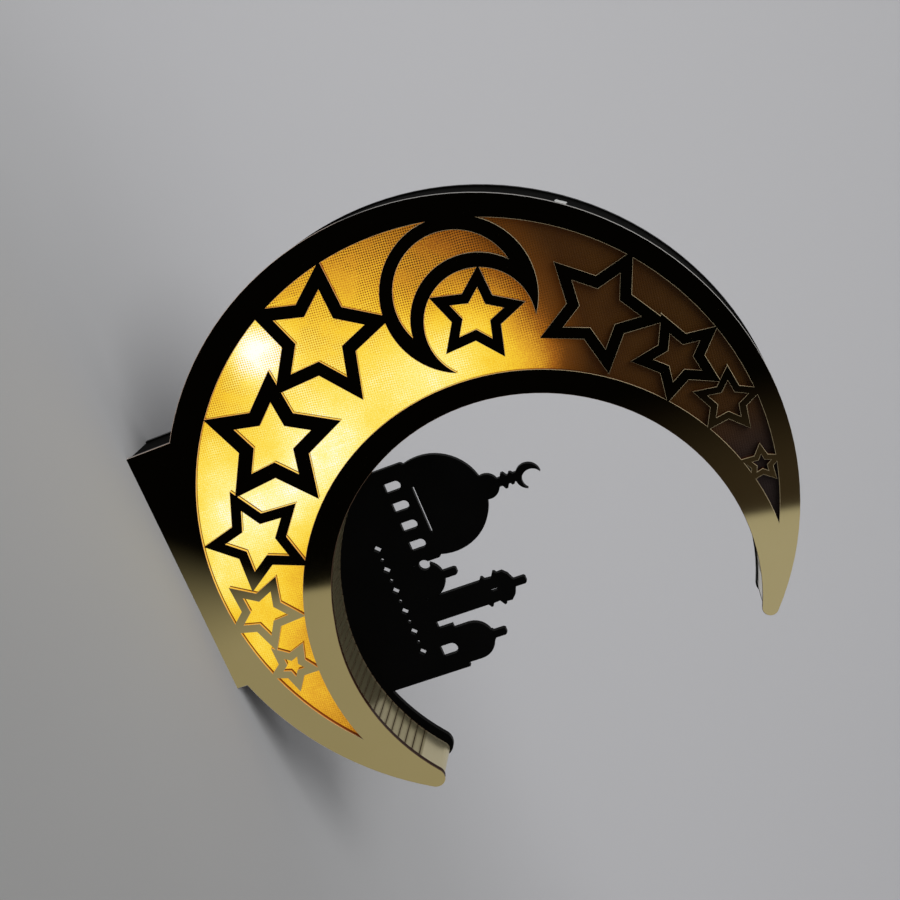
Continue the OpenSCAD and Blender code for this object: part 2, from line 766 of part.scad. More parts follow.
// A tube of radius r along a line of points; up is never along the line
function unit(v) = v / norm(v);
function heading(p, i) = unit(p[min(i + 1, len(p) - 1)] - p[max(i - 1, 0)]);
module tube(p, r, up, sides) {
  last = len(p) - 1;
  rings = [for (i = [0:last])
    let (t = heading(p, i), n = unit(cross(t, up)), b = cross(t, n))
    for (k = [0:sides - 1]) p[i] + r * (n * cos(k * 360 / sides) + b * sin(k * 360 / sides))];
  quads = [for (i = [0:last - 1]) for (k = [0:sides - 1])
    let (a = i * sides + k, c = i * sides + (k + 1) % sides)
    each [[a, a + sides, c], [c, a + sides, c + sides]]];
  polyhedron(rings, concat(quads,
    [[for (k = [0:sides - 1]) k]],
    [[for (k = [sides - 1:-1:0]) last * sides + k]]));
}

// A smooth line through points, with n steps between each pair
function spline(p, n) = let (last = len(p) - 1) [
  for (i = [0:last - 1]) for (k = [0:i == last - 1 ? n : n - 1])
    let (a = p[max(i - 1, 0)], b = p[i], c = p[i + 1], d = p[min(i + 2, last)], t = k / n)
    0.5 * (2 * b + (c - a) * t + (2 * a - 5 * b + 4 * c - d) * t * t
      + (3 * b - a - 3 * c + d) * t * t * t)];

// Each contact spring narrows from its plate to the cell
spring_d = 0.5;
spring_turns = 4;
spring_foot_r = cell_d * 0.33;
spring_tip_r = cell_d * 0.18;
module contact_spring(x, way, z) {
  steps = spring_turns * 8;
  color("#b9bcc2") at_case() translate([x, cell_y, z])
    tube([for (i = [0:steps])
      let (r = spring_foot_r + (spring_tip_r - spring_foot_r) * i / steps, a = i * 45)
      [way * (seat_gap + spring_d / 2 + (spring_l - spring_d) * i / steps),
        r * cos(a), way * r * sin(a)]],
      spring_d / 2, [1, 0, 0], 6);
}
module bridge_spring() contact_spring(bay_x2 - contact_t, -1, cell_pitch / 2);
module negative_spring() contact_spring(bay_x1 + contact_t, 1, -cell_pitch / 2);

switch_half_x = 1.8;
switch_half_z = 4.3;
switch_h = 3.6;
switch_top = flange_y - seat_gap;
groove_d = 1.2;
module switch_body() {
  color("#9aa0a6") at_case() difference() {
    block([switch_x - switch_half_x, switch_top - switch_h, -switch_half_z],
      [switch_x + switch_half_x, switch_top, switch_half_z]);
    block([switch_x - knob_x - hole_gap, switch_top - groove_d,
        -knob_z - knob_travel / 2 - hole_gap],
      [switch_x + knob_x + hole_gap, switch_top + over, knob_z + knob_travel / 2 + hole_gap]);
  }
}

module switch_knob() {
  color("#e8e8e8") at_case()
    block([switch_x - knob_x, switch_top - groove_d + door_gap, knob_travel / 2 - knob_z],
      [switch_x + knob_x, face_y + knob_rise, knob_travel / 2 + knob_z]);
}

resistor_d = 2.3;
resistor_l = 6.3;
resistor_x = switch_x + resistor_d * 1.3;
resistor_y = bay_y + resistor_d / 2 + seat_gap;
resistor_wire_d = 0.5;
module resistor() {
  color("#c9a06a") at_case() translate([resistor_x, resistor_y, -resistor_l]) {
    cylinder(h = resistor_l, d = resistor_d);
    translate([0, 0, -resistor_d]) cylinder(h = resistor_l + 2 * resistor_d, d = resistor_wire_d);
  }
}

// The leads run from the contacts through the partition
lead_run = 2.5 * lead_d;
red_lead_points = [[bay_x1 - seat_gap, lead_y, lead_z], [bay_x1 - lead_run, lead_y, lead_z],
  [switch_x + lead_run, lead_y - lead_d, lead_z - 2 * lead_d],
  [switch_x, lead_y - lead_d, switch_half_z * 0.6]];
black_lead_points = [[bay_x1 - seat_gap, lead_y, -lead_z], [bay_x1 - lead_run, lead_y, -lead_z],
  [resistor_x, lead_y - 2 * lead_d, -resistor_l - resistor_d - lead_d],
  [resistor_x, resistor_y, -resistor_l - resistor_d - lead_d / 2 - seat_gap]];
module red_lead() {
  color("#b03024") at_case() tube(spline(red_lead_points, 4), lead_d / 2, [0.2, 1, 0.3], 6);
}
module black_lead() {
  color("#202020") at_case() tube(spline(black_lead_points, 4), lead_d / 2, [1, 0.2, 0.3], 6);
}

// The cord leaves the case, passes behind every diode and ends at the last one
cord_shares = [[-0.79, 0.315], [-0.785, 0.24], [-0.66, 0.165], led_shares[0], [-0.43, -0.09],
  led_shares[1], [-0.57, -0.36], led_shares[2], [-0.72, -0.535], [-0.45, -0.6], led_shares[3],
  [-0.06, -0.67], led_shares[4]];
cord_points = concat(
  [for (d = [tub_x - chamber_l * 0.8, tub_x + tub_t]) case_place - d * case_along],
  [for (s = cord_shares) moon_r * s]);
function in_object(p, y) = [foot_shift + p[0], y, moon_z + p[1]];
module led_cord() {
  color("#d8d3c4")
    tube(spline([for (p = cord_points) in_object(p, cord_y)], 6), cord_d / 2, [0, 1, 0], 6);
}

// Pads hold the cord behind each diode and at three places between
module cord_pads() {
  color("#e6e1d2") for (s = concat(led_shares, [cord_shares[1], cord_shares[4], cord_shares[9]]))
    translate(in_object(moon_r * s, back_y)) rotate([90, 0, 0]) cylinder(h = pad_t, d = pad_d);
}

flange_rim = 0.4;
module led(i) {
  color("#ffe2a0")
    translate(in_object(moon_r * led_shares[i - 1], cord_y - cord_d / 2 - seat_gap))
      rotate([90, 0, 0]) {
        cylinder(h = led_d / 5, d = led_d + 2 * flange_rim);
        cylinder(h = led_l - led_d / 2, d = led_d);
        translate([0, 0, led_l - led_d / 2]) sphere(d = led_d);
      }
}

front_plate();
amber_sheet();
upper_outer_wall();
lower_outer_wall();
tip_outer_wall();
inner_wall();
seam_splice();
back_plate();
foot_floor();
foot_left_end();
foot_right_end();
battery_case();
case_tape();
battery_door();
cell_1();
cell_2();
bridge_contact();
bridge_spring();
positive_contact();
negative_contact();
negative_spring();
switch_body();
switch_knob();
resistor();
red_lead();
black_lead();
led_cord();
cord_pads();
for (i = [1:led_count])
  led(i);
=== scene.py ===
from math import cos, pi, radians, sin

import bpy
from mathutils import Matrix, Quaternion, Vector


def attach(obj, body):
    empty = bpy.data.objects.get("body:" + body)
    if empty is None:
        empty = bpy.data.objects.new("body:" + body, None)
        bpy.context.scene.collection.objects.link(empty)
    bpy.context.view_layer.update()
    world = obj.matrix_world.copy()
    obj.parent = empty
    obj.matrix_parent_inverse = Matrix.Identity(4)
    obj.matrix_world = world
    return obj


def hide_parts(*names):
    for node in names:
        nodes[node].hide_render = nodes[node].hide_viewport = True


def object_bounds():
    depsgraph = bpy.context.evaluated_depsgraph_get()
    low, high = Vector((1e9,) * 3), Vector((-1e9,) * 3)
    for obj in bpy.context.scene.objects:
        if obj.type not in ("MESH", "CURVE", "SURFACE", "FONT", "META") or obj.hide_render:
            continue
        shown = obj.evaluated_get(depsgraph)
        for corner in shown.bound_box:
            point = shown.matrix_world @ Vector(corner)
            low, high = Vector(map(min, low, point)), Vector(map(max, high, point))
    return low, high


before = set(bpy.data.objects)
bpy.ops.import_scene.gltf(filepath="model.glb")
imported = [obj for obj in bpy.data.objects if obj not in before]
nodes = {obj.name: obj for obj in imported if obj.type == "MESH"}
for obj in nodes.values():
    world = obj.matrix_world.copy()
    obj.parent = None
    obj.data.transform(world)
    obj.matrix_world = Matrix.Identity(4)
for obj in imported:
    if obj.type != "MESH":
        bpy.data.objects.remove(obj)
cad_low, cad_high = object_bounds()

# Camera. It stands in front of the ornament, a little to its left and above it, and is rolled on its
# side, so that the moon lies on its back in the picture. Sizes of the ornament are in millimetres, or in
# metres where they are multiplied by mm. Those of the studio are in metres.
mm = 0.001
moon_x = 12.5
moon_z = 99
plate_front = -10.75
moon = Vector((moon_x, plate_front, moon_z)) * mm
aim = Vector((-9.575, plate_front, 99.124)) * mm
camera_turn = radians(-14.2)
camera_rise = radians(11.9)
camera_roll = radians(70.1)
camera_distance = 426.5 * mm

camera = bpy.data.objects.new("camera", bpy.data.cameras.new("camera"))
bpy.context.collection.objects.link(camera)
camera.data.sensor_width = 36
camera.data.lens = 54.75
level = cos(camera_rise)
away = Vector((sin(camera_turn) * level, -cos(camera_turn) * level, sin(camera_rise)))
camera.location = aim + away * camera_distance
camera.rotation_mode = "QUATERNION"
camera.rotation_quaternion = away.to_track_quat("Z", "Y") @ Quaternion((0, 0, 1), camera_roll)
bpy.context.scene.camera = camera
bpy.context.scene.view_settings.view_transform = "Standard"

# Studio. A pale grey paper sweep runs from under the ornament up behind it, as one sheet.
# A pale surround gives even light, and one wide soft lamp gives the shadow its side.


class Flow:
    """One socket of a finish. Sums on it add Math nodes, and node() adds any other node."""

    def __init__(self, tree, socket=None):
        self.tree = tree
        self.socket = socket

    def node(self, kind, settings, values, output=0):
        """Adds a node, with its settings first and then the values or links of its sockets"""
        made = self.tree.nodes.new("ShaderNode" + kind)
        for name, setting in settings.items():
            if name == "stops":
                ramp = made.color_ramp
                while len(ramp.elements) < len(setting):
                    ramp.elements.new(1)
                for element, (place, colour) in zip(ramp.elements, setting):
                    element.position = place
                    element.color = colour + (1,)
            else:
                setattr(made, name, setting)
        for name, value in values.items():
            if isinstance(value, Flow):
                self.tree.links.new(value.socket, made.inputs[name])
            else:
                made.inputs[name].default_value = value
        return Flow(self.tree, made.outputs[output]) if made.outputs else None

    def maths(self, operation, first, second=0):
        return self.node("Math", {"operation": operation}, {0: first, 1: second})

    def __add__(self, other):
        return self.maths("ADD", self, other)

    __radd__ = __add__

    def __sub__(self, other):
        return self.maths("SUBTRACT", self, other)

    def __rsub__(self, other):
        return self.maths("SUBTRACT", other, self)

    def __mul__(self, other):
        return self.maths("MULTIPLY", self, other)

    __rmul__ = __mul__

    def __truediv__(self, other):
        return self.maths("DIVIDE", self, other)

    def __pow__(self, other):
        return self.maths("POWER", self, other)


def new_finish(name):
    """A material without nodes yet, and the flow that makes them"""
    material = bpy.data.materials.new(name)
    material.use_nodes = True
    material.node_tree.nodes.clear()
    return material, Flow(material.node_tree)


def colour(red, green, blue):
    """An opaque colour"""
    return (red, green, blue, 1)


def place_of(start):
    """Where a point lies, in millimetres"""
    place = start.node("TexCoord", {}, {}, "Object")
    return start.node("VectorMath", {"operation": "SCALE"}, {0: place, "Scale": 1000})


def axis_of(place, name):
    """How far a place lies along one axis"""
    return place.node("SeparateXYZ", {}, {0: place}, name)


def noise(start, place, scale, detail=2, roughness=0.5):
    """Soft blotches of noise from 0 to 1: scale is how many of them lie in a millimetre"""
    return start.node("TexNoise", {}, {"Vector": place, "Scale": scale, "Detail": detail,
                                       "Roughness": roughness}, "Fac")


def rising(value, low, high):
    """0 below low, 1 above high, and smooth between"""
    return value.node("MapRange", {"interpolation_type": "SMOOTHSTEP"},
                      {"Value": value, "From Min": low, "From Max": high})


def mixed(mask, low, high):
    """The colour low where the mask is 0 and high where it is 1"""
    return mask.node("Mix", {"data_type": "RGBA"}, {0: mask, 6: low, 7: high}, 2)


def bumped(height, depth, strength):
    """A normal from heights of 0 to 1 that stand for a depth in millimetres"""
    return height.node("Bump", {}, {"Height": height, "Distance": depth * mm, "Strength": strength},
                       "Normal")


def shaded(start, **sockets):
    """The surface itself; the names of its sockets are written with _ for a space"""
    values = {name.replace("_", " "): value for name, value in sockets.items()}
    surface = start.node("BsdfPrincipled", {}, values)
    start.node("OutputMaterial", {}, {"Surface": surface})


def select_edges(piece, wanted):
    """Selects the edges whose two corners both lie at a wanted place"""
    corners = piece.data.vertices
    for edge in piece.data.edges:
        edge.select = all(wanted(corners[v].co) for v in edge.vertices)


sweep_front = -1.6
sweep_back = 0.75
sweep_height = 2.0
sweep_half = 2.2
sweep_round = 0.55
bpy.ops.object.select_all(action="DESELECT")
bpy.ops.mesh.primitive_plane_add(size=1, location=(0, (sweep_front + sweep_back) / 2, 0))
sweep = bpy.context.object
sweep.name = "sweep"
sweep.scale = (2 * sweep_half, sweep_back - sweep_front, 1)
bpy.ops.object.transform_apply(location=True, rotation=True, scale=True)
bpy.ops.object.mode_set(mode="EDIT")
bpy.ops.mesh.select_mode(type="EDGE")
bpy.ops.mesh.select_all(action="DESELECT")
bpy.ops.object.mode_set(mode="OBJECT")
select_edges(sweep, lambda at: at.y > sweep_back - mm)
bpy.ops.object.mode_set(mode="EDIT")
bpy.ops.mesh.extrude_region_move(TRANSFORM_OT_translate={"value": (0, 0, sweep_height)})
bpy.ops.object.mode_set(mode="OBJECT")
select_edges(sweep, lambda at: abs(at.y - sweep_back) + abs(at.z) < mm)
bpy.ops.object.mode_set(mode="EDIT")
bpy.ops.mesh.bevel(offset=sweep_round, segments=24, affect="EDGES")
bpy.ops.object.mode_set(mode="OBJECT")
bpy.ops.object.shade_smooth()
sweep_finish, start = new_finish("sweep_paper")
place = place_of(start)
x, y, z = (axis_of(place, name) for name in "XYZ")
fibres = noise(start, place, 0.004, 4)
# Painted shade: the paper is coloured darker towards the front, low down and to the right, and paler up
# the sweep and to the left.
paper_shade = rising(y + z * 1.2 - x * 0.2 + fibres * 60, -200, 310)
shaded(start, Base_Color=mixed(paper_shade, colour(0.25, 0.25, 0.247), colour(0.475, 0.475, 0.485)),
       Roughness=0.9, Specular_IOR_Level=0.1)
sweep.data.materials.append(sweep_finish)
sweep.visible_glossy = False

# The surround is a plain world. It is pale to diffuse light, so that no side of the ornament goes dark,
# and in gloss it is about the grey of the paper.
world = bpy.data.worlds.new("surround")
bpy.context.scene.world = world
world.use_nodes = True
world.node_tree.nodes.clear()
start = Flow(world.node_tree)
gloss_ray = start.node("LightPath", {}, {}, "Is Glossy Ray")
surround_colour = mixed(gloss_ray, colour(0.62, 0.62, 0.63), colour(0.40, 0.40, 0.40))
surround = start.node("Background", {}, {"Strength": 1, "Color": surround_colour})
start.node("OutputWorld", {}, {"Surface": surround})

# The lamp is a wide disk, high up in front and to the left. It shows in no gloss.
bpy.ops.object.light_add(type="AREA", location=(-0.5, -0.9, 1.3))
lamp = bpy.context.object
lamp.name = "soft_lamp"
lamp.data.shape = "DISK"
lamp.data.size = 1.1
lamp.data.energy = 16
lamp.rotation_mode = "QUATERNION"
lamp.rotation_quaternion = (lamp.location - moon).to_track_quat("Z", "Y")
lamp.visible_glossy = False

# A glowing sheet hangs in front of the ornament, left of the camera. Only gloss sees it: it is a painted
# reflection, which makes the left of the mirror black. Its right edge is sharp, and its lower right
# corner is thin and soft. Beyond the edge it paints the grey surround, darker and warmer low down.
cloth_y = moon.y - 405 * mm
cloth_size = 1.5
edge_x = 140
edge_z = -194
edge_lean = 0.17
soft_corner_z = -215
bpy.ops.mesh.primitive_plane_add(size=1, location=(-0.35, cloth_y, -0.1), rotation=(pi / 2, 0, 0))
cloth = bpy.context.object
cloth.name = "painted_reflection_card"
cloth.scale = (cloth_size, cloth_size, 1)
bpy.ops.object.transform_apply(location=True, rotation=True, scale=True)
cloth_finish, start = new_finish("painted_reflection_card")
place = place_of(start)
up = axis_of(place, "Z") - moon_z
past_edge = axis_of(place, "X") - moon_x - (edge_x + (up - edge_z) * edge_lean)
soft = 5 + start.maths("MAXIMUM", soft_corner_z - up, 0) * 1.3
fade = rising(past_edge / soft, -0.6, 0.5)
# Painted reflection: the sheet is paler towards its right edge and higher up.
paler_reflection = rising(past_edge, -95, -20) * rising(up, -60, 90)
dark = mixed(paler_reflection, colour(0.001, 0.0009, 0.0008), colour(0.032, 0.025, 0.02))
beyond = mixed(rising(up, -260, 60), colour(0.32, 0.31, 0.27), colour(0.40, 0.40, 0.40))
dark = mixed(fade, dark, beyond)
start.node("OutputMaterial", {}, {"Surface": start.node("Emission", {}, {"Color": dark, "Strength": 1})})
cloth.data.materials.append(cloth_finish)
cloth.visible_camera = False
cloth.visible_diffuse = False
cloth.visible_transmission = False
cloth.visible_shadow = False

# Back plate: black acrylic sheet, laser cut, with the mosque and the moon's back in one piece. Its
# front is satin with fine rub marks, its cut edges are a little smoother, and its back is glossier.
plate_back = 10.75


def across_sheet(start):
    """1 on the flat faces of a cut sheet and 0 on its cut edges"""
    normal = start.node("TexCoord", {}, {}, "Normal")
    return rising(start.maths("ABSOLUTE", axis_of(normal, "Y")), 0.6, 0.8)


def rub_marks(start, place, turn, scale):
    """Fine straight marks at one slant: stretched noise, mostly 0"""
    slanted = start.node("Mapping", {}, {"Vector": place, "Rotation": (0, radians(turn), 0),
                                         "Scale": (scale, scale, scale * 0.03)})
    return rising(noise(start, slanted, 1, 3, 0.6), 0.62, 0.78)


def give_finish(finish, *pieces):
    """Makes a finish the only one on each of the pieces"""
    for piece in pieces:
        piece.data.materials.clear()
        piece.data.materials.append(finish)


black_sheet, start = new_finish("black_sheet")
place = place_of(start)
y = axis_of(place, "Y")
face = across_sheet(start)
marks = rub_marks(start, place, 35, 2.2) + rub_marks(start, place, -62, 1.7)
cloudy = noise(start, place, 0.06, 3)
behind = face * rising(y, plate_back - 0.15, plate_back - 0.05)
edge_tone = colour(0.003, 0.0028, 0.0026)
# Painted shade: the front is coloured darker than the back of the same sheet.
front_tone = mixed(cloudy, colour(0.0012, 0.0012, 0.0011), colour(0.0026, 0.0025, 0.0024))
back_tone = mixed(cloudy + marks * 0.4, colour(0.006, 0.006, 0.0058), colour(0.011, 0.011, 0.0105))
shaded(start, Base_Color=mixed(behind, mixed(face, edge_tone, front_tone), back_tone),
       Roughness=0.36 + face * (0.12 + cloudy * 0.08 - marks * 0.06),
       Specular_IOR_Level=0.02, Coat_Weight=behind * 0.7, Coat_Roughness=0.28,
       Normal=bumped(noise(start, place, 0.5, 2) + marks * 0.2, 0.02, 0.3))
give_finish(black_sheet, nodes["back_plate"], nodes["foot_floor"])

# Outer walls and the foot's ends: strips of black acrylic, bent warm round the moon and glued between
# the plates. They are dull, with a soft gloss low down, and a line of glue runs along each edge.
wall_front = -8.25
wall_back = 8.75


def from_glued_edge(y):
    """How far a point of a wall lies from the nearer of its two glued edges"""
    return y.maths("MINIMUM", y - wall_front, wall_back - y)


black_strip, start = new_finish("black_strip")
place = place_of(start)
y, z = axis_of(place, "Y"), axis_of(place, "Z")
glue_and_shade_line = 1 - rising(from_glued_edge(y) + noise(start, place, 0.4, 3) * 0.5, 0.5, 0.8)
polished = rising(z, 20, 40) * (1 - rising(z, 50, 80))
waves = noise(start, place, 0.05, 1)
marks = rub_marks(start, place, 90, 1.6)
tone = mixed(marks * 0.6, colour(0.0025, 0.0024, 0.0022), colour(0.02, 0.019, 0.017))
shaded(start, Base_Color=mixed(glue_and_shade_line, tone, colour(0.011, 0.0105, 0.009)),
       Roughness=0.5 + waves * 0.06 + glue_and_shade_line * 0.2 + marks * 0.08, Specular_IOR_Level=0.002,
       Coat_Weight=polished * (0.4 - glue_and_shade_line * 0.2), Coat_Roughness=0.3,
       Normal=bumped(waves + marks * 0.03, 0.2, 0.2))
outer_strips = ("upper_outer_wall", "lower_outer_wall", "tip_outer_wall", "foot_left_end",
                "foot_right_end")
give_finish(black_strip, *(nodes[name] for name in outer_strips))

# Inner wall: a strip of pale gold mirrored acrylic. Cuts across it let it bend round the bite, it stays
# plain at both ends and turns round the lower tip. It is darker brown beside the cuts and along both
# edges. The bottoms of the cuts are painted shade, and near its top the gold is painted near white as a
# highlight.
gold_strip, start = new_finish("gold_strip")
place = place_of(start)
x, y, z = (axis_of(place, name) for name in "XYZ")
bite = (47.85, 108.08)
bite_radius = 69
horn_bite = (51.13, 107.2)
lower_tip = (95.95, 50.34)
turn_radius = 3
cut_step = radians(2.5682)
cut_pitch = 3.115
first_cut = radians(75.471)
last_cut = 89
horn_from = 256.4
horn_swing = radians(2.803)


def distance_from(middle, x, z):
    """How far a point lies from a place across and up, in millimetres"""
    return x.maths("SQRT", (x - middle[0]) ** 2 + (z - middle[1]) ** 2)


def direction_from(middle, x, z):
    """The direction of a point from a place, in radians from 0 to a full turn"""
    return x.maths("ARCTAN2", middle[1] - z, middle[0] - x) + pi


def from_bite(x, z):
    """How far a point lies from the bite's centre, or from the lower horn's own where that is less"""
    above_horn = rising(z, 107, 108) * 9
    return x.maths("MINIMUM", distance_from(bite, x, z), distance_from(horn_bite, x, z) + above_horn)


from_tip = distance_from(lower_tip, x, z)
inside_turn = 1 - rising(from_tip, turn_radius + 0.1, turn_radius + 0.2)
on_turn = rising(from_tip, turn_radius - 0.3, turn_radius - 0.2) * inside_turn
# Painted shade: the cut bottoms, below the strip's face, are coloured dark brown, dull and rough.
cut_bottom_shade = rising(from_bite(x, z), bite_radius + 0.52, bite_radius + 0.62) * (1 - on_turn)
turned = direction_from(bite, x, z)
turned_horn = direction_from(horn_bite, x, z) + horn_swing
in_horn = rising(turned, radians(horn_from - 0.05), radians(horn_from + 0.05))
cuts_along = (turned + (turned_horn - turned) * in_horn - first_cut) / cut_step
bent = rising(cuts_along, -0.4, -0.3) * (1 - rising(cuts_along, last_cut + 0.3, last_cut + 0.4))
beside_cut = start.maths("PINGPONG", cuts_along, 0.5) * cut_pitch
film = noise(start, place, 0.12, 3)
ragged = noise(start, place, 0.5, 2)
# Darker, browner and rougher beside each cut, and darker and less metallic along both glued edges.
darker_beside_cuts = (1 - rising(beside_cut - ragged * 0.5, 0.0, 0.7)) * bent
darker_along_edges = 1 - rising(from_glued_edge(y) - ragged * 0.5 * bent, 0.1, 0.5)
gold = mixed(film, colour(0.68, 0.60, 0.38), colour(0.76, 0.68, 0.45))
# Painted highlight: from 160 to 168 mm up, the gold turns near white.
gold = mixed(rising(z, 160, 168), gold, colour(0.95, 0.92, 0.86))
gold = mixed(bent * 0.6, gold, colour(0.38, 0.33, 0.17))
gold = mixed(darker_beside_cuts * 0.45, gold, colour(0.16, 0.11, 0.06))
gold = mixed(darker_along_edges * 0.85, gold, colour(0.05, 0.022, 0.012))
gold = mixed(cut_bottom_shade, gold, colour(0.17, 0.13, 0.075))
streaks = rub_marks(start, place, 90, 2.0)
shaded(start, Base_Color=gold, Metallic=0.88 * (1 - start.maths("MAXIMUM", cut_bottom_shade, darker_along_edges * 0.9)),
       Roughness=0.26 + film * 0.08 + streaks * 0.1 + darker_beside_cuts * 0.1 + cut_bottom_shade * 0.3,
       Specular_IOR_Level=0.1, Normal=bumped(film + streaks * 0.1, 0.03, 0.3))
give_finish(gold_strip, nodes["inner_wall"])

# Seam splice: an offcut of the black strip, glued inside over the seam of the outer wall. Clear glue
# is wiped over it.
splice_strip, start = new_finish("splice_strip")
place = place_of(start)
glue = rising(noise(start, place, 0.35, 3), 0.45, 0.6)
shaded(start, Base_Color=mixed(glue, colour(0.014, 0.0135, 0.013), colour(0.03, 0.029, 0.027)),
       Roughness=0.55 - glue * 0.35, Normal=bumped(glue, 0.1, 0.6))
give_finish(splice_strip, nodes["seam_splice"])

# Amber sheet: clear amber styrene pressed with a slanting net of small dots. It lies behind the mirror
# plate. The diodes' light on it is a painted glow, an emission that is white where one shines through,
# then yellow and orange; where it is unlit its colour is painted darker, and greyer to the right. Its
# places are given from the moon's middle, and so are the diodes'.
moon_middle = (moon_x, moon_z)
moon_radius = 100
diodes = [(-43.8, 13.8), (-39.8, -30.4), (-74.5, -44.4), (-18.5, -55.5), (2.1, -85.4)]
dot_pitch = 1.05
slant = radians(38)


def light_from(x, z, spots):
    """Light on the sheet from spots of (place across, place up, reach, strength)"""
    total = 0
    for across, up, reach, strength in spots:
        distance = ((x - moon_x - across) ** 2 + (z - moon_z - up) ** 2) / reach ** 2
        total = x.maths("EXPONENT", 0 - distance) * strength + total
    return total


def glow_colour(light, dots):
    """The lit sheet's colour, from dark through orange and yellow to white"""
    stops = [
        (0.0, (0.0, 0.0, 0.0)), (0.14, (0.012, 0.003, 0.0005)), (0.24, (0.10, 0.028, 0.002)),
        (0.34, (0.32, 0.10, 0.006)), (0.54, (0.72, 0.36, 0.02)), (0.68, (0.92, 0.60, 0.03)),
        (0.8, (0.95, 0.75, 0.11)), (0.9, (1.0, 0.92, 0.34)), (1.0, (1.0, 1.0, 0.95))]
    return light.node("ValToRGB", {"stops": stops}, {0: light + dots})


amber_sheet, start = new_finish("amber_sheet")
place = place_of(start)
x, z = axis_of(place, "X"), axis_of(place, "Z")
wide = [(-60, -26, 62, 0.66), (-22, -76, 45, 0.46), (46, -77, 26, 0.5)]
near = [(-45, 11, 24, 0.38), (-32, -35, 18, 0.16), (-73, -45, 10, 0.44), (-22, -58, 14, 0.1),
        (-18, -83, 18, 0.2), (14, -88, 18, 0.22), (-56, 26, 10, 0.12), (-40, 32, 9, 0.16),
        (-43, -77, 12, 0.07), (-72, 8, 9, -0.07), (-4, -91, 9, 0.16), (21, -89, 10, 0.12),
        (7, -71, 9, 0.1), (46, -73, 12, -0.05), (-42, -58, 10, -0.07)]
light = light_from(x, z, wide + near)
patches = noise(start, place, 0.12, 3)
along = (x * cos(slant) + z * sin(slant)) * (2 * pi / dot_pitch) + patches * 5
cross = (z * cos(slant) - x * sin(slant)) * (2 * pi / dot_pitch) - patches * 4
dots = rising(start.maths("SINE", along) * start.maths("SINE", cross), -0.2, 0.6)
grain = noise(start, place, 2.5, 1)
seen = 1 - rising(x, -62, -20) * 0.75
streaks = rub_marks(start, place, 52, 1.1)
dot_shade = dots * seen * (0.1 + 0.24 * rising(patches, 0.35, 0.6))
shimmer = (patches - 0.5) * 0.24 - dot_shade + (grain - 0.36) * 0.26 + streaks * 0.06
lit = rising(light, 0.12, 0.45)
face = across_sheet(start)
tab = rising(distance_from(moon_middle, x, z), moon_radius - 0.3, moon_radius - 0.2)
cut = mixed(tab, colour(0.02, 0.008, 0.004), colour(0.72, 0.71, 0.66))
unlit = mixed(patches, colour(0.030, 0.012, 0.003), colour(0.054, 0.023, 0.004))
unlit = mixed(rising(x, 0, 32), unlit, colour(0.020, 0.014, 0.013))
shaded(start, Base_Color=mixed(face, cut, mixed(lit, unlit, colour(0.06, 0.028, 0.006))),
       Roughness=0.24 + grain * 0.12, Specular_IOR_Level=0.1, Coat_Weight=0.04,
       Emission_Color=mixed(face, colour(0, 0, 0), glow_colour(light, shimmer * lit)),
       Emission_Strength=1, Normal=bumped(1 - dots, 0.15, 0.7))
give_finish(amber_sheet, nodes["amber_sheet"])

# Mirror plate: acrylic with a gold mirror film on its front, laser cut into stars and a little moon.
# The cut edges of its windows are clear, and the sheet's light on them is a painted glow; further back
# they are painted dark as shade. Round the outside and the bite they are dark brown.
gold_mirror, start = new_finish("gold_mirror")
place = place_of(start)
x, y, z = (axis_of(place, name) for name in "XYZ")
face = rising(across_sheet(start), 0.9, 1)
from_moon = distance_from(moon_middle, x, z)
clear_of_bite = rising(from_bite(x, z), bite_radius + 1.4, bite_radius + 1.8)
clear_of_rim = 1 - rising(from_moon, moon_radius - 2, moon_radius - 1.6)
window = (1 - face) * clear_of_bite * clear_of_rim
light = light_from(x, z, wide + near)
# Painted shade: edges turn dark 0.65 to 0.85 mm behind the front, further back where light is strong.
glue_and_shade_line = rising(y - rising(light, 0.45, 0.8) * 0.35, plate_front + 0.65, plate_front + 0.85)
# Painted glow: lit_edge gives the window edges the sheet's light as emission.
lit_edge = mixed(glue_and_shade_line, glow_colour(light, -0.16), colour(0.12, 0.018, 0.002))
marks = rub_marks(start, place, 20, 2.6) * 0.5 + rub_marks(start, place, -48, 1.9) * 0.5
smear = noise(start, place, 0.05, 3, 0.6)
edge = mixed(glue_and_shade_line, colour(0.16, 0.085, 0.03), colour(0.05, 0.014, 0.005))
edge = mixed(window, colour(0.022, 0.010, 0.006), edge)
edge = mixed(face, edge, colour(0.09, 0.075, 0.05))
film = face * (1 - rising(y, plate_front + 0.15, plate_front + 0.25))
mirror = mixed(smear, colour(0.80, 0.67, 0.33), colour(0.84, 0.71, 0.37))
shaded(start, Base_Color=mixed(film, edge, mirror), Metallic=film, Specular_IOR_Level=0.05,
       Roughness=0.14 - face * 0.1 + smear * face * 0.02 + marks * 0.03,
       Emission_Color=mixed(window * rising(light, 0.2, 0.5), colour(0, 0, 0), lit_edge),
       Emission_Strength=1,
       Normal=bumped(noise(start, place, 0.03, 1) + marks * 0.02, 0.05, 0.15))
give_finish(gold_mirror, nodes["front_plate"])

# Battery case: a black moulded tub with a flange that is taped to the back plate. The mould left a
# fine spark texture and soft edges, and raised plus and minus marks in the floor of the cell bay.
case_x = -32.034
case_z = 158.099
case_turn = radians(37)
half_pitch = 5.9
bay_floor = -9.05
stroke_half = 2
stroke_side = 0.45

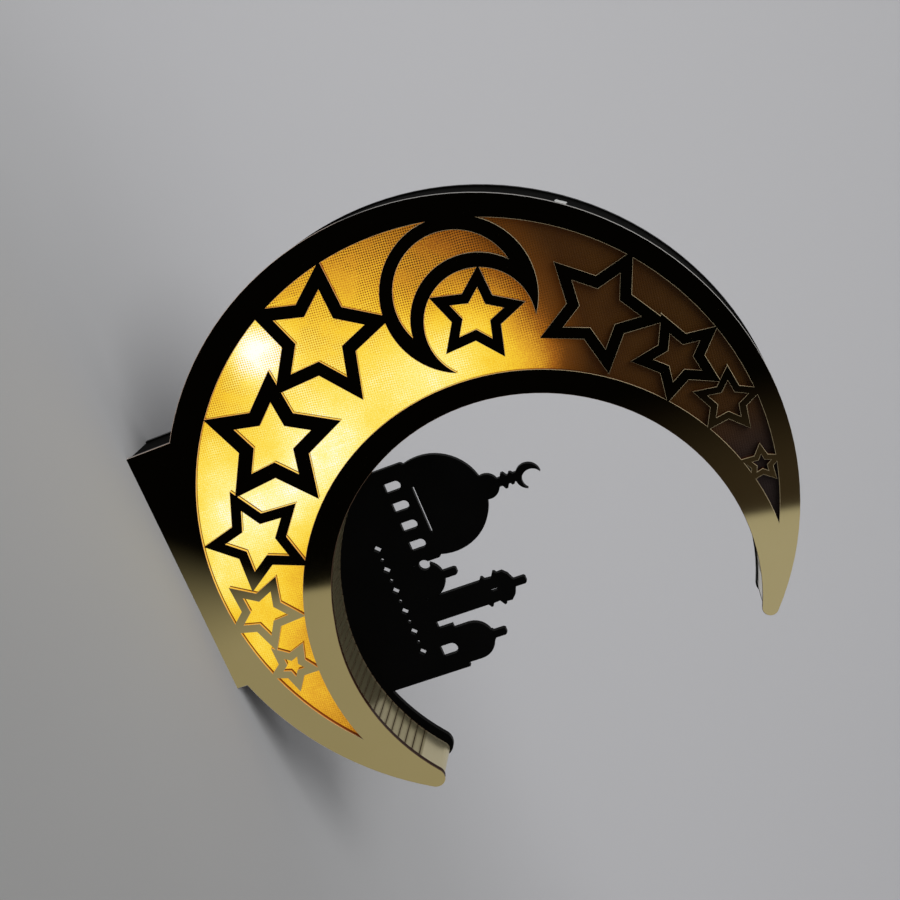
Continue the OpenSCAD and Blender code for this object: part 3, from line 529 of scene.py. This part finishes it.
# What is in the case has its places in the case's frame: x along the cells, y out of the back.
case_frame = (Matrix.Translation(Vector((case_x, plate_back, case_z)) * mm)
              @ Matrix.Rotation(-case_turn, 4, "Y"))


def start_piece(name):
    """Names the primitive that was just added"""
    piece = bpy.context.object
    piece.name = name
    piece.data.name = name
    return piece


def only(piece):
    """Selects one piece alone, and makes it the active one"""
    bpy.ops.object.select_all(action="DESELECT")
    piece.select_set(True)
    bpy.context.view_layer.objects.active = piece


def set_place(piece, frame_of_place):
    """Carries a piece into a frame, and puts its place into its mesh"""
    only(piece)
    piece.matrix_world = frame_of_place @ piece.matrix_world
    bpy.ops.object.transform_apply(location=True, rotation=True, scale=True)


def dress(piece, body, slot, finish, *stands_for):
    """Gives a piece its finish, its body and the nodes that it stands for"""
    give_finish(finish, piece)
    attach(piece, body)
    if stands_for:
        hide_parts(*stands_for)


def copy_of(node):
    """A copy of a node's solid in edit mode, with its triangles joined into flat faces"""
    piece = nodes[node].copy()
    piece.data = nodes[node].data.copy()
    piece.parent = None
    for key in list(piece.keys()):
        del piece[key]
    bpy.context.collection.objects.link(piece)
    only(piece)
    bpy.ops.object.mode_set(mode="EDIT")
    bpy.ops.mesh.select_all(action="SELECT")
    bpy.ops.mesh.remove_doubles(threshold=0.01 * mm)
    bpy.ops.mesh.dissolve_limited(angle_limit=radians(1))
    return piece


def soft_edged(node, name, width):
    """A copy of a node's solid with its edges rounded by a width in millimetres"""
    piece = copy_of(node)
    piece.name = name
    bpy.ops.object.mode_set(mode="OBJECT")
    rounding = piece.modifiers.new("rounding", "BEVEL")
    rounding.width = width * mm
    rounding.segments = 2
    rounding.limit_method = "ANGLE"
    rounding.angle_limit = radians(25)
    bpy.ops.object.modifier_apply(modifier=rounding.name)
    bpy.ops.object.shade_smooth_by_angle(angle=radians(35))
    return piece


def bar(name, low, high, width, segments=2):
    """A bar between two corners in millimetres, with its edges rounded"""
    bpy.ops.object.select_all(action="DESELECT")
    middle = (Vector(low) + Vector(high)) / 2 * mm
    bpy.ops.mesh.primitive_cube_add(size=1, location=middle)
    piece = start_piece(name)
    piece.scale = (Vector(high) - Vector(low)) * mm
    bpy.ops.object.transform_apply(location=False, rotation=False, scale=True)
    bpy.ops.object.mode_set(mode="EDIT")
    bpy.ops.mesh.select_all(action="SELECT")
    bpy.ops.mesh.bevel(offset=width * mm, segments=segments, affect="EDGES")
    bpy.ops.object.mode_set(mode="OBJECT")
    bpy.ops.object.shade_smooth_by_angle(angle=radians(35))
    return piece


def joined(pieces):
    """One piece made of several"""
    only(pieces[0])
    for piece in pieces:
        piece.select_set(True)
    bpy.ops.object.join()
    return bpy.context.object


def stroke(name, x, z, half_x, half_z):
    """A raised stroke of a plus or a minus mark, in the floor of the cell bay"""
    return bar(name, (x - half_x, bay_floor - 0.1, z - half_z),
               (x + half_x, bay_floor + 0.03, z + half_z), 0.03)


case_plastic, start = new_finish("case_plastic")
place = place_of(start)
spark = noise(start, place, 3.2, 2, 0.6)
handled = rising(noise(start, place, 0.07, 3), 0.4, 0.7)
scuffs = rub_marks(start, place, 55, 1.5)
shaded(start, Base_Color=mixed(handled, colour(0.016, 0.016, 0.017), colour(0.024, 0.024, 0.025)),
       Roughness=0.42 + spark * 0.16 - handled * 0.08 + scuffs * 0.08, Specular_IOR_Level=0.4,
       Normal=bumped(spark + scuffs * 0.3, 0.06, 0.5))
case = soft_edged("battery_case", "case_moulding", 0.22)
strokes = []
for plus_x, mark_z in ((-11, half_pitch), (11, -half_pitch)):
    strokes.append(stroke("plus_along", plus_x, mark_z, stroke_half, stroke_side))
    strokes.append(stroke("plus_across", plus_x, mark_z, stroke_side, stroke_half))
    strokes.append(stroke("minus_along", -plus_x, mark_z, stroke_half, stroke_side))
case_marks = joined(strokes)
case_marks.name = "case_marks"
set_place(case_marks, case_frame)
dress(case, "light_box", "case_plastic", case_plastic, "battery_case")
dress(case_marks, "light_box", "case_plastic", case_plastic)

# Tape: a frame of white foam tape, stuck between the case's flange and the back plate. Its cut edges
# show open cells.
foam_tape, start = new_finish("foam_tape")
place = place_of(start)
cells = start.node("TexVoronoi", {}, {"Vector": place, "Scale": 4.5}, "Distance")
tape_tone = noise(start, place, 0.15, 3)
shaded(start, Base_Color=mixed(tape_tone, colour(0.66, 0.63, 0.56), colour(0.78, 0.76, 0.70)),
       Roughness=0.85, Normal=bumped(cells, 0.08, 0.8))
give_finish(foam_tape, nodes["case_tape"])

# Contacts: nickel-plated spring steel plates at the ends of the cell bay, pressed with a round bump
# that meets a cell's nub. The one at the far end joins both cells. Springs meet the cells' flat ends.
contact_metal, start = new_finish("contact_metal")
place = place_of(start)
rolled = rub_marks(start, place, 37, 5)
plating = noise(start, place, 0.5, 3)
shaded(start, Base_Color=mixed(plating, colour(0.68, 0.67, 0.63), colour(0.78, 0.77, 0.74)),
       Metallic=1, Roughness=0.2 + plating * 0.12 + rolled * 0.15,
       Normal=bumped(rolled * 0.5 + plating * 0.5, 0.02, 0.6))


def lathed(name, middle, axis, rings, around=40):
    """A piece turned round an axis, closed at both ends, from (place along it, radius) in millimetres"""
    bpy.ops.object.select_all(action="DESELECT")
    first_place, first_radius = rings[0]
    bpy.ops.mesh.primitive_circle_add(vertices=around, radius=first_radius * mm, fill_type="NGON",
                                      location=(0, 0, 0))
    piece = start_piece(name)
    bpy.ops.object.mode_set(mode="EDIT")
    bpy.ops.mesh.select_all(action="SELECT")
    bpy.ops.transform.translate(value=(0, 0, first_place * mm))
    for (low_place, low_radius), (high_place, high_radius) in zip(rings, rings[1:]):
        bpy.ops.mesh.extrude_region_move(
            TRANSFORM_OT_translate={"value": (0, 0, (high_place - low_place) * mm)})
        share = high_radius / low_radius
        bpy.ops.transform.resize(value=(share, share, 1))
    bpy.ops.mesh.select_all(action="SELECT")
    bpy.ops.mesh.normals_make_consistent(inside=False)
    bpy.ops.object.mode_set(mode="OBJECT")
    bpy.ops.object.shade_smooth_by_angle(angle=radians(40))
    turned_to = Vector(axis).to_track_quat("Z", "Y").to_matrix().to_4x4()
    set_place(piece, Matrix.Translation(Vector(middle) * mm) @ turned_to)
    return piece


cell_y = -3.75
bump_rings = [(0, 1.5), (0.35, 1.47), (0.75, 1.3), (1.0, 0.9), (1.0, 0.2)]
rim_rings = [(0, 2.3), (0.09, 2.25), (0.12, 1.5), (0.12, 0.4)]
near_x = -19.6
far_x = 31.8
contact_thick = 0.4
contact_half = 4.46
contact_end = 10.3
contact_gap = 1.5
for name, stands_for, x_low, z_low, z_high, bump_z, way in (
        ("joining_contact", "bridge_contact", far_x - contact_thick, -contact_end, contact_end,
         -half_pitch, -1),
        ("nub_contact", "positive_contact", near_x, contact_gap, contact_end, half_pitch, 1),
        ("spring_contact", "negative_contact", near_x, -contact_end, -contact_gap, None, 1)):
    parts = [bar(name, (x_low, cell_y - contact_half, z_low),
                 (x_low + contact_thick, cell_y + contact_half, z_high), 0.09)]
    if bump_z:
        foot_x = x_low + contact_thick / 2
        parts.append(lathed("bump", (foot_x, cell_y, bump_z), (way, 0, 0), bump_rings))
        parts.append(lathed("bump_rim", (foot_x + way * 0.15, cell_y, bump_z), (way, 0, 0), rim_rings))
    contact = joined(parts)
    contact.name = name
    set_place(contact, case_frame)
    dress(contact, "light_box", "contact_metal", contact_metal, stands_for)


def wire(name, points, radius, around=10):
    """A wire of one radius along points, both in millimetres, with its ends closed"""
    curve = bpy.data.curves.new(name, "CURVE")
    curve.dimensions = "3D"
    curve.bevel_depth = radius * mm
    curve.bevel_resolution = (around - 4) // 2
    curve.use_fill_caps = True
    line = curve.splines.new("POLY")
    line.points.add(len(points) - 1)
    for point, at in zip(line.points, points):
        point.co = (at[0] * mm, at[1] * mm, at[2] * mm, 1)
    piece = bpy.data.objects.new(name, curve)
    bpy.context.collection.objects.link(piece)
    only(piece)
    bpy.ops.object.convert(target="MESH")
    bpy.ops.object.mode_set(mode="EDIT")
    bpy.ops.mesh.select_all(action="SELECT")
    bpy.ops.mesh.remove_doubles(threshold=0.001 * mm)
    bpy.ops.mesh.normals_make_consistent(inside=False)
    bpy.ops.object.mode_set(mode="OBJECT")
    bpy.ops.object.shade_smooth_by_angle(angle=radians(50))
    return piece


spring_wire = 0.5
spring_reach = 5.15
spring_gap = 0.05
spring_steps = 150
coils = 4.5
flat_at_foot = 0.6
flat_in_all = 1.3
foot_coil = 3.465
tip_coil = 1.89
for name, stands_for, from_x, way, at_z in (
        ("joining_spring", "bridge_spring", far_x - contact_thick, -1, half_pitch),
        ("near_spring", "negative_spring", near_x + contact_thick, 1, -half_pitch)):
    points = []
    for i in range(spring_steps + 1):
        share = i / spring_steps
        rise = min(max((share * coils - flat_at_foot) / (coils - flat_in_all), 0), 1)
        out = spring_gap + spring_wire / 2 + (spring_reach - spring_wire - spring_gap) * rise
        wound = 2 * pi * coils * share
        radius = foot_coil + (tip_coil - foot_coil) * share
        points.append((from_x + way * out, cell_y + radius * cos(wound),
                       at_z + way * radius * sin(wound)))
    spring = wire(name, points, spring_wire / 2, 12)
    set_place(spring, case_frame)
    dress(spring, "light_box", "contact_metal", contact_metal, stands_for)

# Cells: two AAA cells, each a steel can with a plain printed jacket shrunk round it, a crimped rim at
# both ends, a paper ring and a nub. They lie the opposite way round.
first_nub = -18.35
second_nub = 30.55
jacket_from = 1.5
jacket_to = 43.9
band_to = 14.2


def along_case(x, z):
    """How far a point lies along the case"""
    return (x - case_x) * cos(case_turn) + (z - case_z) * sin(case_turn)


def across_case(x, z):
    """How far a point lies across the case from its middle line"""
    return (z - case_z) * cos(case_turn) - (x - case_x) * sin(case_turn)


cell_jacket, start = new_finish("cell_jacket")
place = place_of(start)
x, z = axis_of(place, "X"), axis_of(place, "Z")
along = along_case(x, z)
first_cell = rising(across_case(x, z), -0.01, 0.01)
from_nub = (along - first_nub) * first_cell + (second_nub - along) * (1 - first_cell)
nub_steel = 1 - rising(from_nub, jacket_from, jacket_from + 0.05)
steel = rising(from_nub, jacket_to, jacket_to + 0.05) + nub_steel
top_band = 1 - rising(from_nub, band_to, band_to + 0.15)
print_grain = noise(start, place, 6, 1)
wrap = noise(start, place, 0.2, 3)
body_tone = mixed(first_cell, colour(0.03, 0.032, 0.036), colour(0.045, 0.05, 0.06))
jacket_tone = mixed(top_band, body_tone, colour(0.62, 0.40, 0.16))
shaded(start, Base_Color=mixed(steel, jacket_tone, colour(0.68, 0.67, 0.65)),
       Metallic=start.maths("MAXIMUM", steel, top_band * 0.85),
       Roughness=0.24 + wrap * 0.08 + print_grain * 0.04,
       Normal=bumped(wrap * 0.7 + print_grain * 0.3, 0.03, 0.5))
cell_rings = [(0, 1.3), (0, 1.75), (0.2, 1.9), (0.85, 1.9), (0.9, 2.2), (1.05, 3.9), (0.95, 4.0),
              (0.95, 4.6), (0.9, 4.75), (0.95, 5.0), (1.15, 5.17), (1.5, 5.22), (2.1, 5.22), (2.3, 5.2),
              (2.5, 5.25), (43.2, 5.25), (43.6, 5.23), (44.1, 5.1), (44.4, 4.8), (44.45, 4.5),
              (44.3, 4.3), (44.2, 4.1), (44.25, 3.0), (44.5, 2.7), (44.5, 0.6)]
for name, node, from_x, way, at_z in (("cell_upper", "cell_1", first_nub, 1, half_pitch),
                                      ("cell_lower", "cell_2", second_nub, -1, -half_pitch)):
    cell = lathed(name, (from_x, cell_y, at_z), (way, 0, 0), cell_rings, 64)
    set_place(cell, case_frame)
    dress(cell, "light_box", "cell_jacket", cell_jacket, node)

# Switch: a stamped steel housing with folded lugs round a brown base, with three pins. It lies under
# the case's face in its own chamber.
switch_x = -26.96
switch_top = 1.85
switch_half = 1.9
lug_thick = 0.18
lug_half = 0.6
base_y = 9.2
switch_metal, start = new_finish("switch_metal")
place = place_of(start)
y = axis_of(place, "Y")
stamped = rub_marks(start, place, 37, 4)
tin = noise(start, place, 0.6, 3)
in_base = 1 - rising(y, base_y, base_y + 0.1)
steel_tone = mixed(tin, colour(0.55, 0.56, 0.57), colour(0.66, 0.67, 0.68))
shaded(start, Base_Color=mixed(in_base, steel_tone, colour(0.16, 0.075, 0.035)),
       Metallic=1 - in_base, Roughness=0.26 + tin * 0.12 + stamped * 0.1 + in_base * 0.3,
       Normal=bumped(tin * 0.5 + stamped * 0.5, 0.03, 0.5))
switch = soft_edged("switch_body", "switch_housing", 0.12)
lugs = [bar("base", (switch_x - 1.65, switch_top - 3.6, -4.1),
            (switch_x + 1.65, switch_top - 3.1, 4.1), 0.08)]
for lug_z in (-2.6, 2.6):
    for lug_x in (switch_x - switch_half, switch_x + switch_half - lug_thick):
        lugs.append(bar("lug", (lug_x, switch_top - 3.62, lug_z - lug_half),
                        (lug_x + lug_thick, switch_top - 1.9, lug_z + lug_half), 0.05))
for pin_z in (-2.5, 0, 2.5):
    lugs.append(bar("pin", (switch_x - 0.3, switch_top - 5.4, pin_z - 0.15),
                    (switch_x + 0.3, switch_top - 3.4, pin_z + 0.15), 0.04))
switch_lugs = joined(lugs)
switch_lugs.name = "switch_lugs"
set_place(switch_lugs, case_frame)
dress(switch, "light_box", "switch_metal", switch_metal, "switch_body")
dress(switch_lugs, "light_box", "switch_metal", switch_metal)

# Switch knob: a moulded white slider that stands out through the slot in the case's face, with three
# grip ridges on top. Dirt sits in its grain.
knob_plastic, start = new_finish("knob_plastic")
place = place_of(start)
dirt = rising(noise(start, place, 0.9, 3), 0.5, 0.75)
mould_grain = noise(start, place, 8, 1)
shaded(start, Base_Color=mixed(dirt, colour(0.78, 0.78, 0.75), colour(0.62, 0.60, 0.55)),
       Roughness=0.38 + mould_grain * 0.1 + dirt * 0.1, Normal=bumped(mould_grain, 0.02, 0.5))
knob_low = (switch_x - 0.8, 0.75, -0.2)
knob_high = (switch_x + 0.8, 5.05, 2.2)
knob_parts = [bar("slider", knob_low, knob_high, 0.16, 3)]
for ridge_z in (0.4, 1.0, 1.6):
    knob_parts.append(bar("ridge", (switch_x - 0.7, 4.9, ridge_z - 0.12),
                          (switch_x + 0.7, 5.3, ridge_z + 0.12), 0.08))
knob = joined(knob_parts)
knob.name = "slider_knob"
set_place(knob, case_frame)
dress(knob, "knob", "knob_plastic", knob_plastic, "switch_knob")

# Resistor: a small lacquered body with swollen ends and colour rings. It lies beside the switch on its
# tinned wire, and the black lead is soldered to one end.
resistor_x = switch_x + 2.99
resistor_y = -7.85
resistor_long = 6.3
resistor_body, start = new_finish("resistor_body")
place = place_of(start)
x, z = axis_of(place, "X"), axis_of(place, "Z")
beside = across_case(x, z)
tone = mixed(noise(start, place, 1.2, 2), colour(0.62, 0.45, 0.28), colour(0.70, 0.53, 0.34))
for middle, band in ((-5.3, colour(0.35, 0.03, 0.02)), (-4.2, colour(0.35, 0.03, 0.02)),
                     (-3.1, colour(0.12, 0.05, 0.02)), (-1.3, colour(0.55, 0.38, 0.08))):
    here = 1 - rising(start.maths("ABSOLUTE", beside - middle), 0.24, 0.28)
    tone = mixed(here, tone, band)
from_middle = start.maths("ABSOLUTE", beside + resistor_long / 2)
bare = rising(from_middle, resistor_long / 2, resistor_long / 2 + 0.05)
shaded(start, Base_Color=mixed(bare, tone, colour(0.62, 0.62, 0.60)), Metallic=bare,
       Roughness=0.3 + noise(start, place, 2, 2) * 0.15,
       Normal=bumped(noise(start, place, 2.2, 2), 0.03, 0.5))
resistor_rings = [(0, 0.4), (0, 0.75), (0.15, 1.05), (0.5, 1.15), (1.3, 1.15), (1.7, 0.98),
                  (2.2, 0.95), (4.1, 0.95), (4.6, 0.98), (5.0, 1.15), (5.8, 1.15), (6.15, 1.05),
                  (resistor_long, 0.75), (resistor_long, 0.4)]
wire_points = [(resistor_x, resistor_y, at) for at in (2.3, 0, -resistor_long, -8.6)]
resistor = joined([
    lathed("resistor", (resistor_x, resistor_y, 0), (0, 0, -1), resistor_rings, 24),
    wire("resistor_wire", wire_points, 0.25)])
resistor.name = "lacquered_resistor"
set_place(resistor, case_frame)
dress(resistor, "light_box", "resistor_body", resistor_body, "resistor")


# Leads: thin stranded wire in red and in black insulation, from the contacts through the partition to
# the switch and the resistor. Each end is stripped and soldered.
def flowing(points, steps):
    """A smooth line through points, with so many steps between each pair"""
    line = []
    last = len(points) - 1
    for i in range(last):
        a, b, c, d = (Vector(points[min(max(i + k, 0), last)]) for k in (-1, 0, 1, 2))
        for k in range(steps):
            t = k / steps
            line.append(0.5 * (2 * b + (c - a) * t + (2 * a - 5 * b + 4 * c - d) * t * t
                               + (3 * b - a - 3 * c + d) * t * t * t))
    return line + [Vector(points[last])]


def insulation(name, low, high):
    """The skin of one lead, between two close tones"""
    finish, start = new_finish(name)
    place = place_of(start)
    drawn = noise(start, place, 1.5, 2)
    shaded(start, Base_Color=mixed(drawn, low, high), Roughness=0.36 + drawn * 0.12,
           Normal=bumped(drawn, 0.03, 0.5))
    return finish


lead_z = 8.979
lead_y = -2.0
lead_radius = 0.5
partition = near_x
collar_rings = [(-0.3, 0.3), (-0.3, 0.54), (0, 0.52), (0, 0.3)]
for name, node, slot, finish, route in (
        ("red_wire", "red_lead", "red_insulation",
         insulation("red_insulation", colour(0.46, 0.035, 0.028), colour(0.58, 0.05, 0.04)),
         [(partition - 0.05, lead_y, lead_z), (partition - 2.5, lead_y, lead_z),
          (switch_x + 2.5, lead_y - 1, lead_z - 2), (switch_x, lead_y - 1, 2.58)]),
        ("black_wire", "black_lead", "black_insulation",
         insulation("black_insulation", colour(0.014, 0.014, 0.014), colour(0.024, 0.024, 0.024)),
         [(partition - 0.05, lead_y, -lead_z), (partition - 2.5, lead_y, -lead_z),
          (resistor_x, lead_y - 2, -9.6), (resistor_x, resistor_y, -9.15)])):
    line = flowing(route, 12)
    lead = joined([wire(name, line, lead_radius, 14),
                   lathed("collar", line[0], line[0] - line[1], collar_rings, 20)])
    lead.name = name
    set_place(lead, case_frame)
    dress(lead, "light_box", slot, finish, node)

# Light string: two enamelled wires twisted in a clear skin. It leaves the case by a hole, is stuck to
# the back plate with pads of hot glue, and passes behind each diode.
cord_insulation, start = new_finish("cord_insulation")
place = place_of(start)
copper = noise(start, place, 1.8, 2)
shaded(start, Base_Color=mixed(copper, colour(0.60, 0.50, 0.36), colour(0.72, 0.66, 0.52)),
       Roughness=0.28 + copper * 0.1, Coat_Weight=0.4, Normal=bumped(copper, 0.03, 0.4))
case_middle = Vector((case_x - moon_x, 0, case_z - moon_z))
case_way = Vector((cos(case_turn), 0, sin(case_turn)))
cord_y = 7.2
cord_places = [(-79, 31.5), (-78.5, 24), (-66, 16.5), diodes[0], (-43, -9), diodes[1], (-57, -36),
               diodes[2], (-72, -53.5), (-45, -60), diodes[3], (-6, -67), diodes[4]]
route = [case_middle - case_way * 24.2, case_middle - case_way * 34.2]
route += [Vector((across, 0, up)) for across, up in cord_places]
line = flowing([point + Vector((moon_x, cord_y, moon_z)) for point in route], 24)
turns_per_mm = 0.35
strand_out = 0.33
strand_radius = 0.36
backwards = Vector((0, 1, 0))
strands = []
for side in (0, pi):
    points = []
    gone = 0
    for i, at in enumerate(line):
        if i:
            gone += (at - line[i - 1]).length
        way = (line[min(i + 1, len(line) - 1)] - line[max(i - 1, 0)]).normalized()
        beside_way = way.cross(backwards).normalized()
        twist = side + gone * turns_per_mm * 2 * pi
        points.append(at + strand_out * (beside_way * cos(twist) + backwards * sin(twist)))
    strands.append(wire("strand", points, strand_radius, 8))
cord = joined(strands)
cord.name = "twisted_cord"
dress(cord, "light_box", "cord_insulation", cord_insulation, "led_cord")

# Pads of hot glue: milky drops that hold the light string to the back plate. Each was pressed flat
# while it was soft, one behind each diode and three along the string between them.
pad_glue, start = new_finish("pad_glue")
place = place_of(start)
milky = noise(start, place, 0.6, 2)
shaded(start, Base_Color=mixed(milky, colour(0.70, 0.68, 0.60), colour(0.82, 0.80, 0.74)),
       Roughness=0.22 + milky * 0.15, Coat_Weight=0.3, Normal=bumped(milky, 0.2, 0.5))
drop_rings = [(0, 3.6), (0, 3.9), (0.2, 4.0), (0.45, 3.8), (0.65, 3.2), (0.76, 2.4), (0.8, 1.2),
              (0.8, 0.4)]
drops = []
for number, (across, up) in enumerate(diodes + [cord_places[1], cord_places[4], cord_places[9]]):
    middle = Vector((moon_x + across, wall_back, moon_z + up))
    drop = lathed("drop", middle, (0, -1, 0), drop_rings, 32)
    bpy.ops.object.mode_set(mode="EDIT")
    bpy.ops.mesh.select_all(action="SELECT")
    bpy.ops.transform.resize(value=(0.93 + 0.05 * sin(number * 2.1), 1, 0.94 + 0.05 * cos(number * 1.7)),
                             center_override=middle * mm)
    bpy.ops.object.mode_set(mode="OBJECT")
    drops.append(drop)
pads = joined(drops)
pads.name = "glue_drops"
dress(pads, "light_box", "pad_glue", pad_glue, "cord_pads")

# Diodes: clear epoxy lenses with a rim, each with its two legs bent down onto the cord. They shine
# warm white towards the sheet.
diode_lens, start = new_finish("diode_lens")
place = place_of(start)
y = axis_of(place, "Y")
head = 1 - rising(y, 1, 4.5)
frosting = noise(start, place, 1.5, 2)
shaded(start, Base_Color=mixed(frosting, colour(0.80, 0.72, 0.52), colour(0.88, 0.82, 0.62)),
       Roughness=0.08 + frosting * 0.06, Coat_Weight=0.5,
       Emission_Color=mixed(head, colour(0.35, 0.22, 0.08), colour(1.0, 0.86, 0.55)),
       Emission_Strength=1, Normal=bumped(frosting, 0.02, 0.3))
lens_back = 6.45
lens_radius = 2.5
dome_from = 6.1
lens_rings = [(0, 1.2), (0, 2.75), (0.12, 2.9), (0.85, 2.9), (1.0, 2.75), (1.05, lens_radius),
              (dome_from, lens_radius)]
for turn in range(12, 85, 12):
    lens_rings.append((dome_from + lens_radius * sin(radians(turn)), lens_radius * cos(radians(turn))))
lens_rings.append((dome_from + lens_radius, 0.1))
leg_bends = [(1.27, -0.3), (1.27, 0.25), (1.1, 0.45), (0.5, 0.5)]
for number, (across, up) in enumerate(diodes, 1):
    at = Vector((moon_x + across, lens_back, moon_z + up))
    lens = lathed("lens", at, (0, -1, 0), lens_rings, 40)
    legs = [wire("leg", [at + Vector((side * out, back, 0)) for out, back in leg_bends], 0.22, 8)
            for side in (-1, 1)]
    diode = joined([lens] + legs)
    diode.name = "diode_%d" % number
    dress(diode, "light_box", "diode_lens", diode_lens, "led_%d" % number)

# Edge line of the mirror plate: the cut leaves a hair's width of clear acrylic along every edge of the
# film. A thin bead stands for it; its pale khaki round each star and silver round the outside are a
# painted highlight, and where the sheet is lit it is orange with a painted glow.
edge_line_finish, start = new_finish("edge_line")
place = place_of(start)
x, z = axis_of(place, "X"), axis_of(place, "Z")
outside = rising(distance_from(moon_middle, x, z), moon_radius - 1, moon_radius - 0.6)
inside = rising(from_bite(x, z), bite_radius + 1, bite_radius + 1.5)
melt = noise(start, place, 1.5, 2)
khaki = mixed(melt, colour(0.44, 0.35, 0.20), colour(0.56, 0.46, 0.28))
lit = rising(light_from(x, z, wide), 0.3, 0.5) * inside
khaki = mixed(lit, khaki, colour(0.62, 0.36, 0.16))
edge_tone = mixed(inside, colour(0.10, 0.055, 0.03), khaki)
shaded(start, Base_Color=mixed(outside, edge_tone, colour(0.50, 0.48, 0.45)),
       Roughness=0.25 + melt * 0.15, Metallic=0.3,
       Emission_Color=mixed(lit, colour(0, 0, 0), colour(0.16, 0.07, 0.02)),
       Emission_Strength=1, Normal=bumped(melt, 0.02, 0.5))
line_radius = 0.13
plate_copy = copy_of("front_plate")
bpy.ops.mesh.select_mode(type="EDGE")
bpy.ops.mesh.select_all(action="DESELECT")
bpy.ops.mesh.edges_select_sharp(sharpness=radians(60))
bpy.ops.object.mode_set(mode="OBJECT")
corners = plate_copy.data.vertices
for edge in plate_copy.data.edges:
    edge.select = edge.select and all(corners[v].co.y < moon.y + 0.1 * mm for v in edge.vertices)
bpy.ops.object.mode_set(mode="EDIT")
bpy.ops.mesh.duplicate()
bpy.ops.mesh.separate(type="SELECTED")
bpy.ops.object.mode_set(mode="OBJECT")
edge_line = next(piece for piece in bpy.context.selected_objects if piece != plate_copy)
bpy.data.objects.remove(plate_copy)
edge_line.name = "mirror_edge_line"
only(edge_line)
bpy.ops.object.convert(target="CURVE")
edge_line.data.bevel_depth = line_radius * mm
edge_line.data.bevel_resolution = 1
bpy.ops.object.convert(target="MESH")
edge_line.location.y = line_radius * mm
bpy.ops.object.transform_apply(location=True, rotation=True, scale=True)
bpy.ops.object.shade_smooth()
for corner in edge_line.data.vertices:
    corner.co = [min(max(at, least), most) for at, least, most in zip(corner.co, cad_low, cad_high)]
dress(edge_line, "light_box", "gold_mirror", edge_line_finish)

# Glue on the sheet's tab: a pale bead wiped by hand over the tab, where it meets the seam of the outer
# wall. It has set uneven.
bead_half = 1.75
bead_y = -5.6
bead_reach = 3
bead_thick = 0.22
seam_turn = radians(-53.7)
bead_glue, start = new_finish("bead_glue")
place = place_of(start)
cloudy = noise(start, place, 1.1, 3)
shaded(start, Base_Color=mixed(cloudy, colour(0.40, 0.40, 0.39), colour(0.58, 0.58, 0.56)),
       Roughness=0.3 + cloudy * 0.2, Normal=bumped(cloudy, 0.2, 0.5))
bead = bar("tab_bead", (-bead_half, bead_y - bead_reach, -bead_thick),
           (bead_half, bead_y + bead_reach, bead_thick), 0.2, 4)
bpy.ops.object.mode_set(mode="EDIT")
bpy.ops.mesh.select_all(action="SELECT")
bpy.ops.mesh.subdivide(number_cuts=2)
bpy.ops.object.mode_set(mode="OBJECT")
for corner in bead.data.vertices:
    across = corner.co.x / (bead_half * mm)
    deep = corner.co.y / (bead_reach * mm)
    corner.co.x += 0.25 * mm * sin(deep * 2.3 + 4.8933)
    corner.co.y += 0.3 * mm * sin(across * 3.4)
set_place(bead, Matrix.Translation((moon.x, 0, moon.z)) @ Matrix.Rotation(seam_turn, 4, "Y")
          @ Matrix.Translation((0, 0, (moon_radius - 0.28) * mm)))
dress(bead, "light_box", "pad_glue", bead_glue)

# Battery door: a moulded lid that slides along the case's rails on two tongues. Five grip ribs and a
# raised arrow show how it opens.
door = soft_edged("battery_door", "sliding_door", 0.2)
dress(door, "door", "case_plastic", case_plastic, "battery_door")
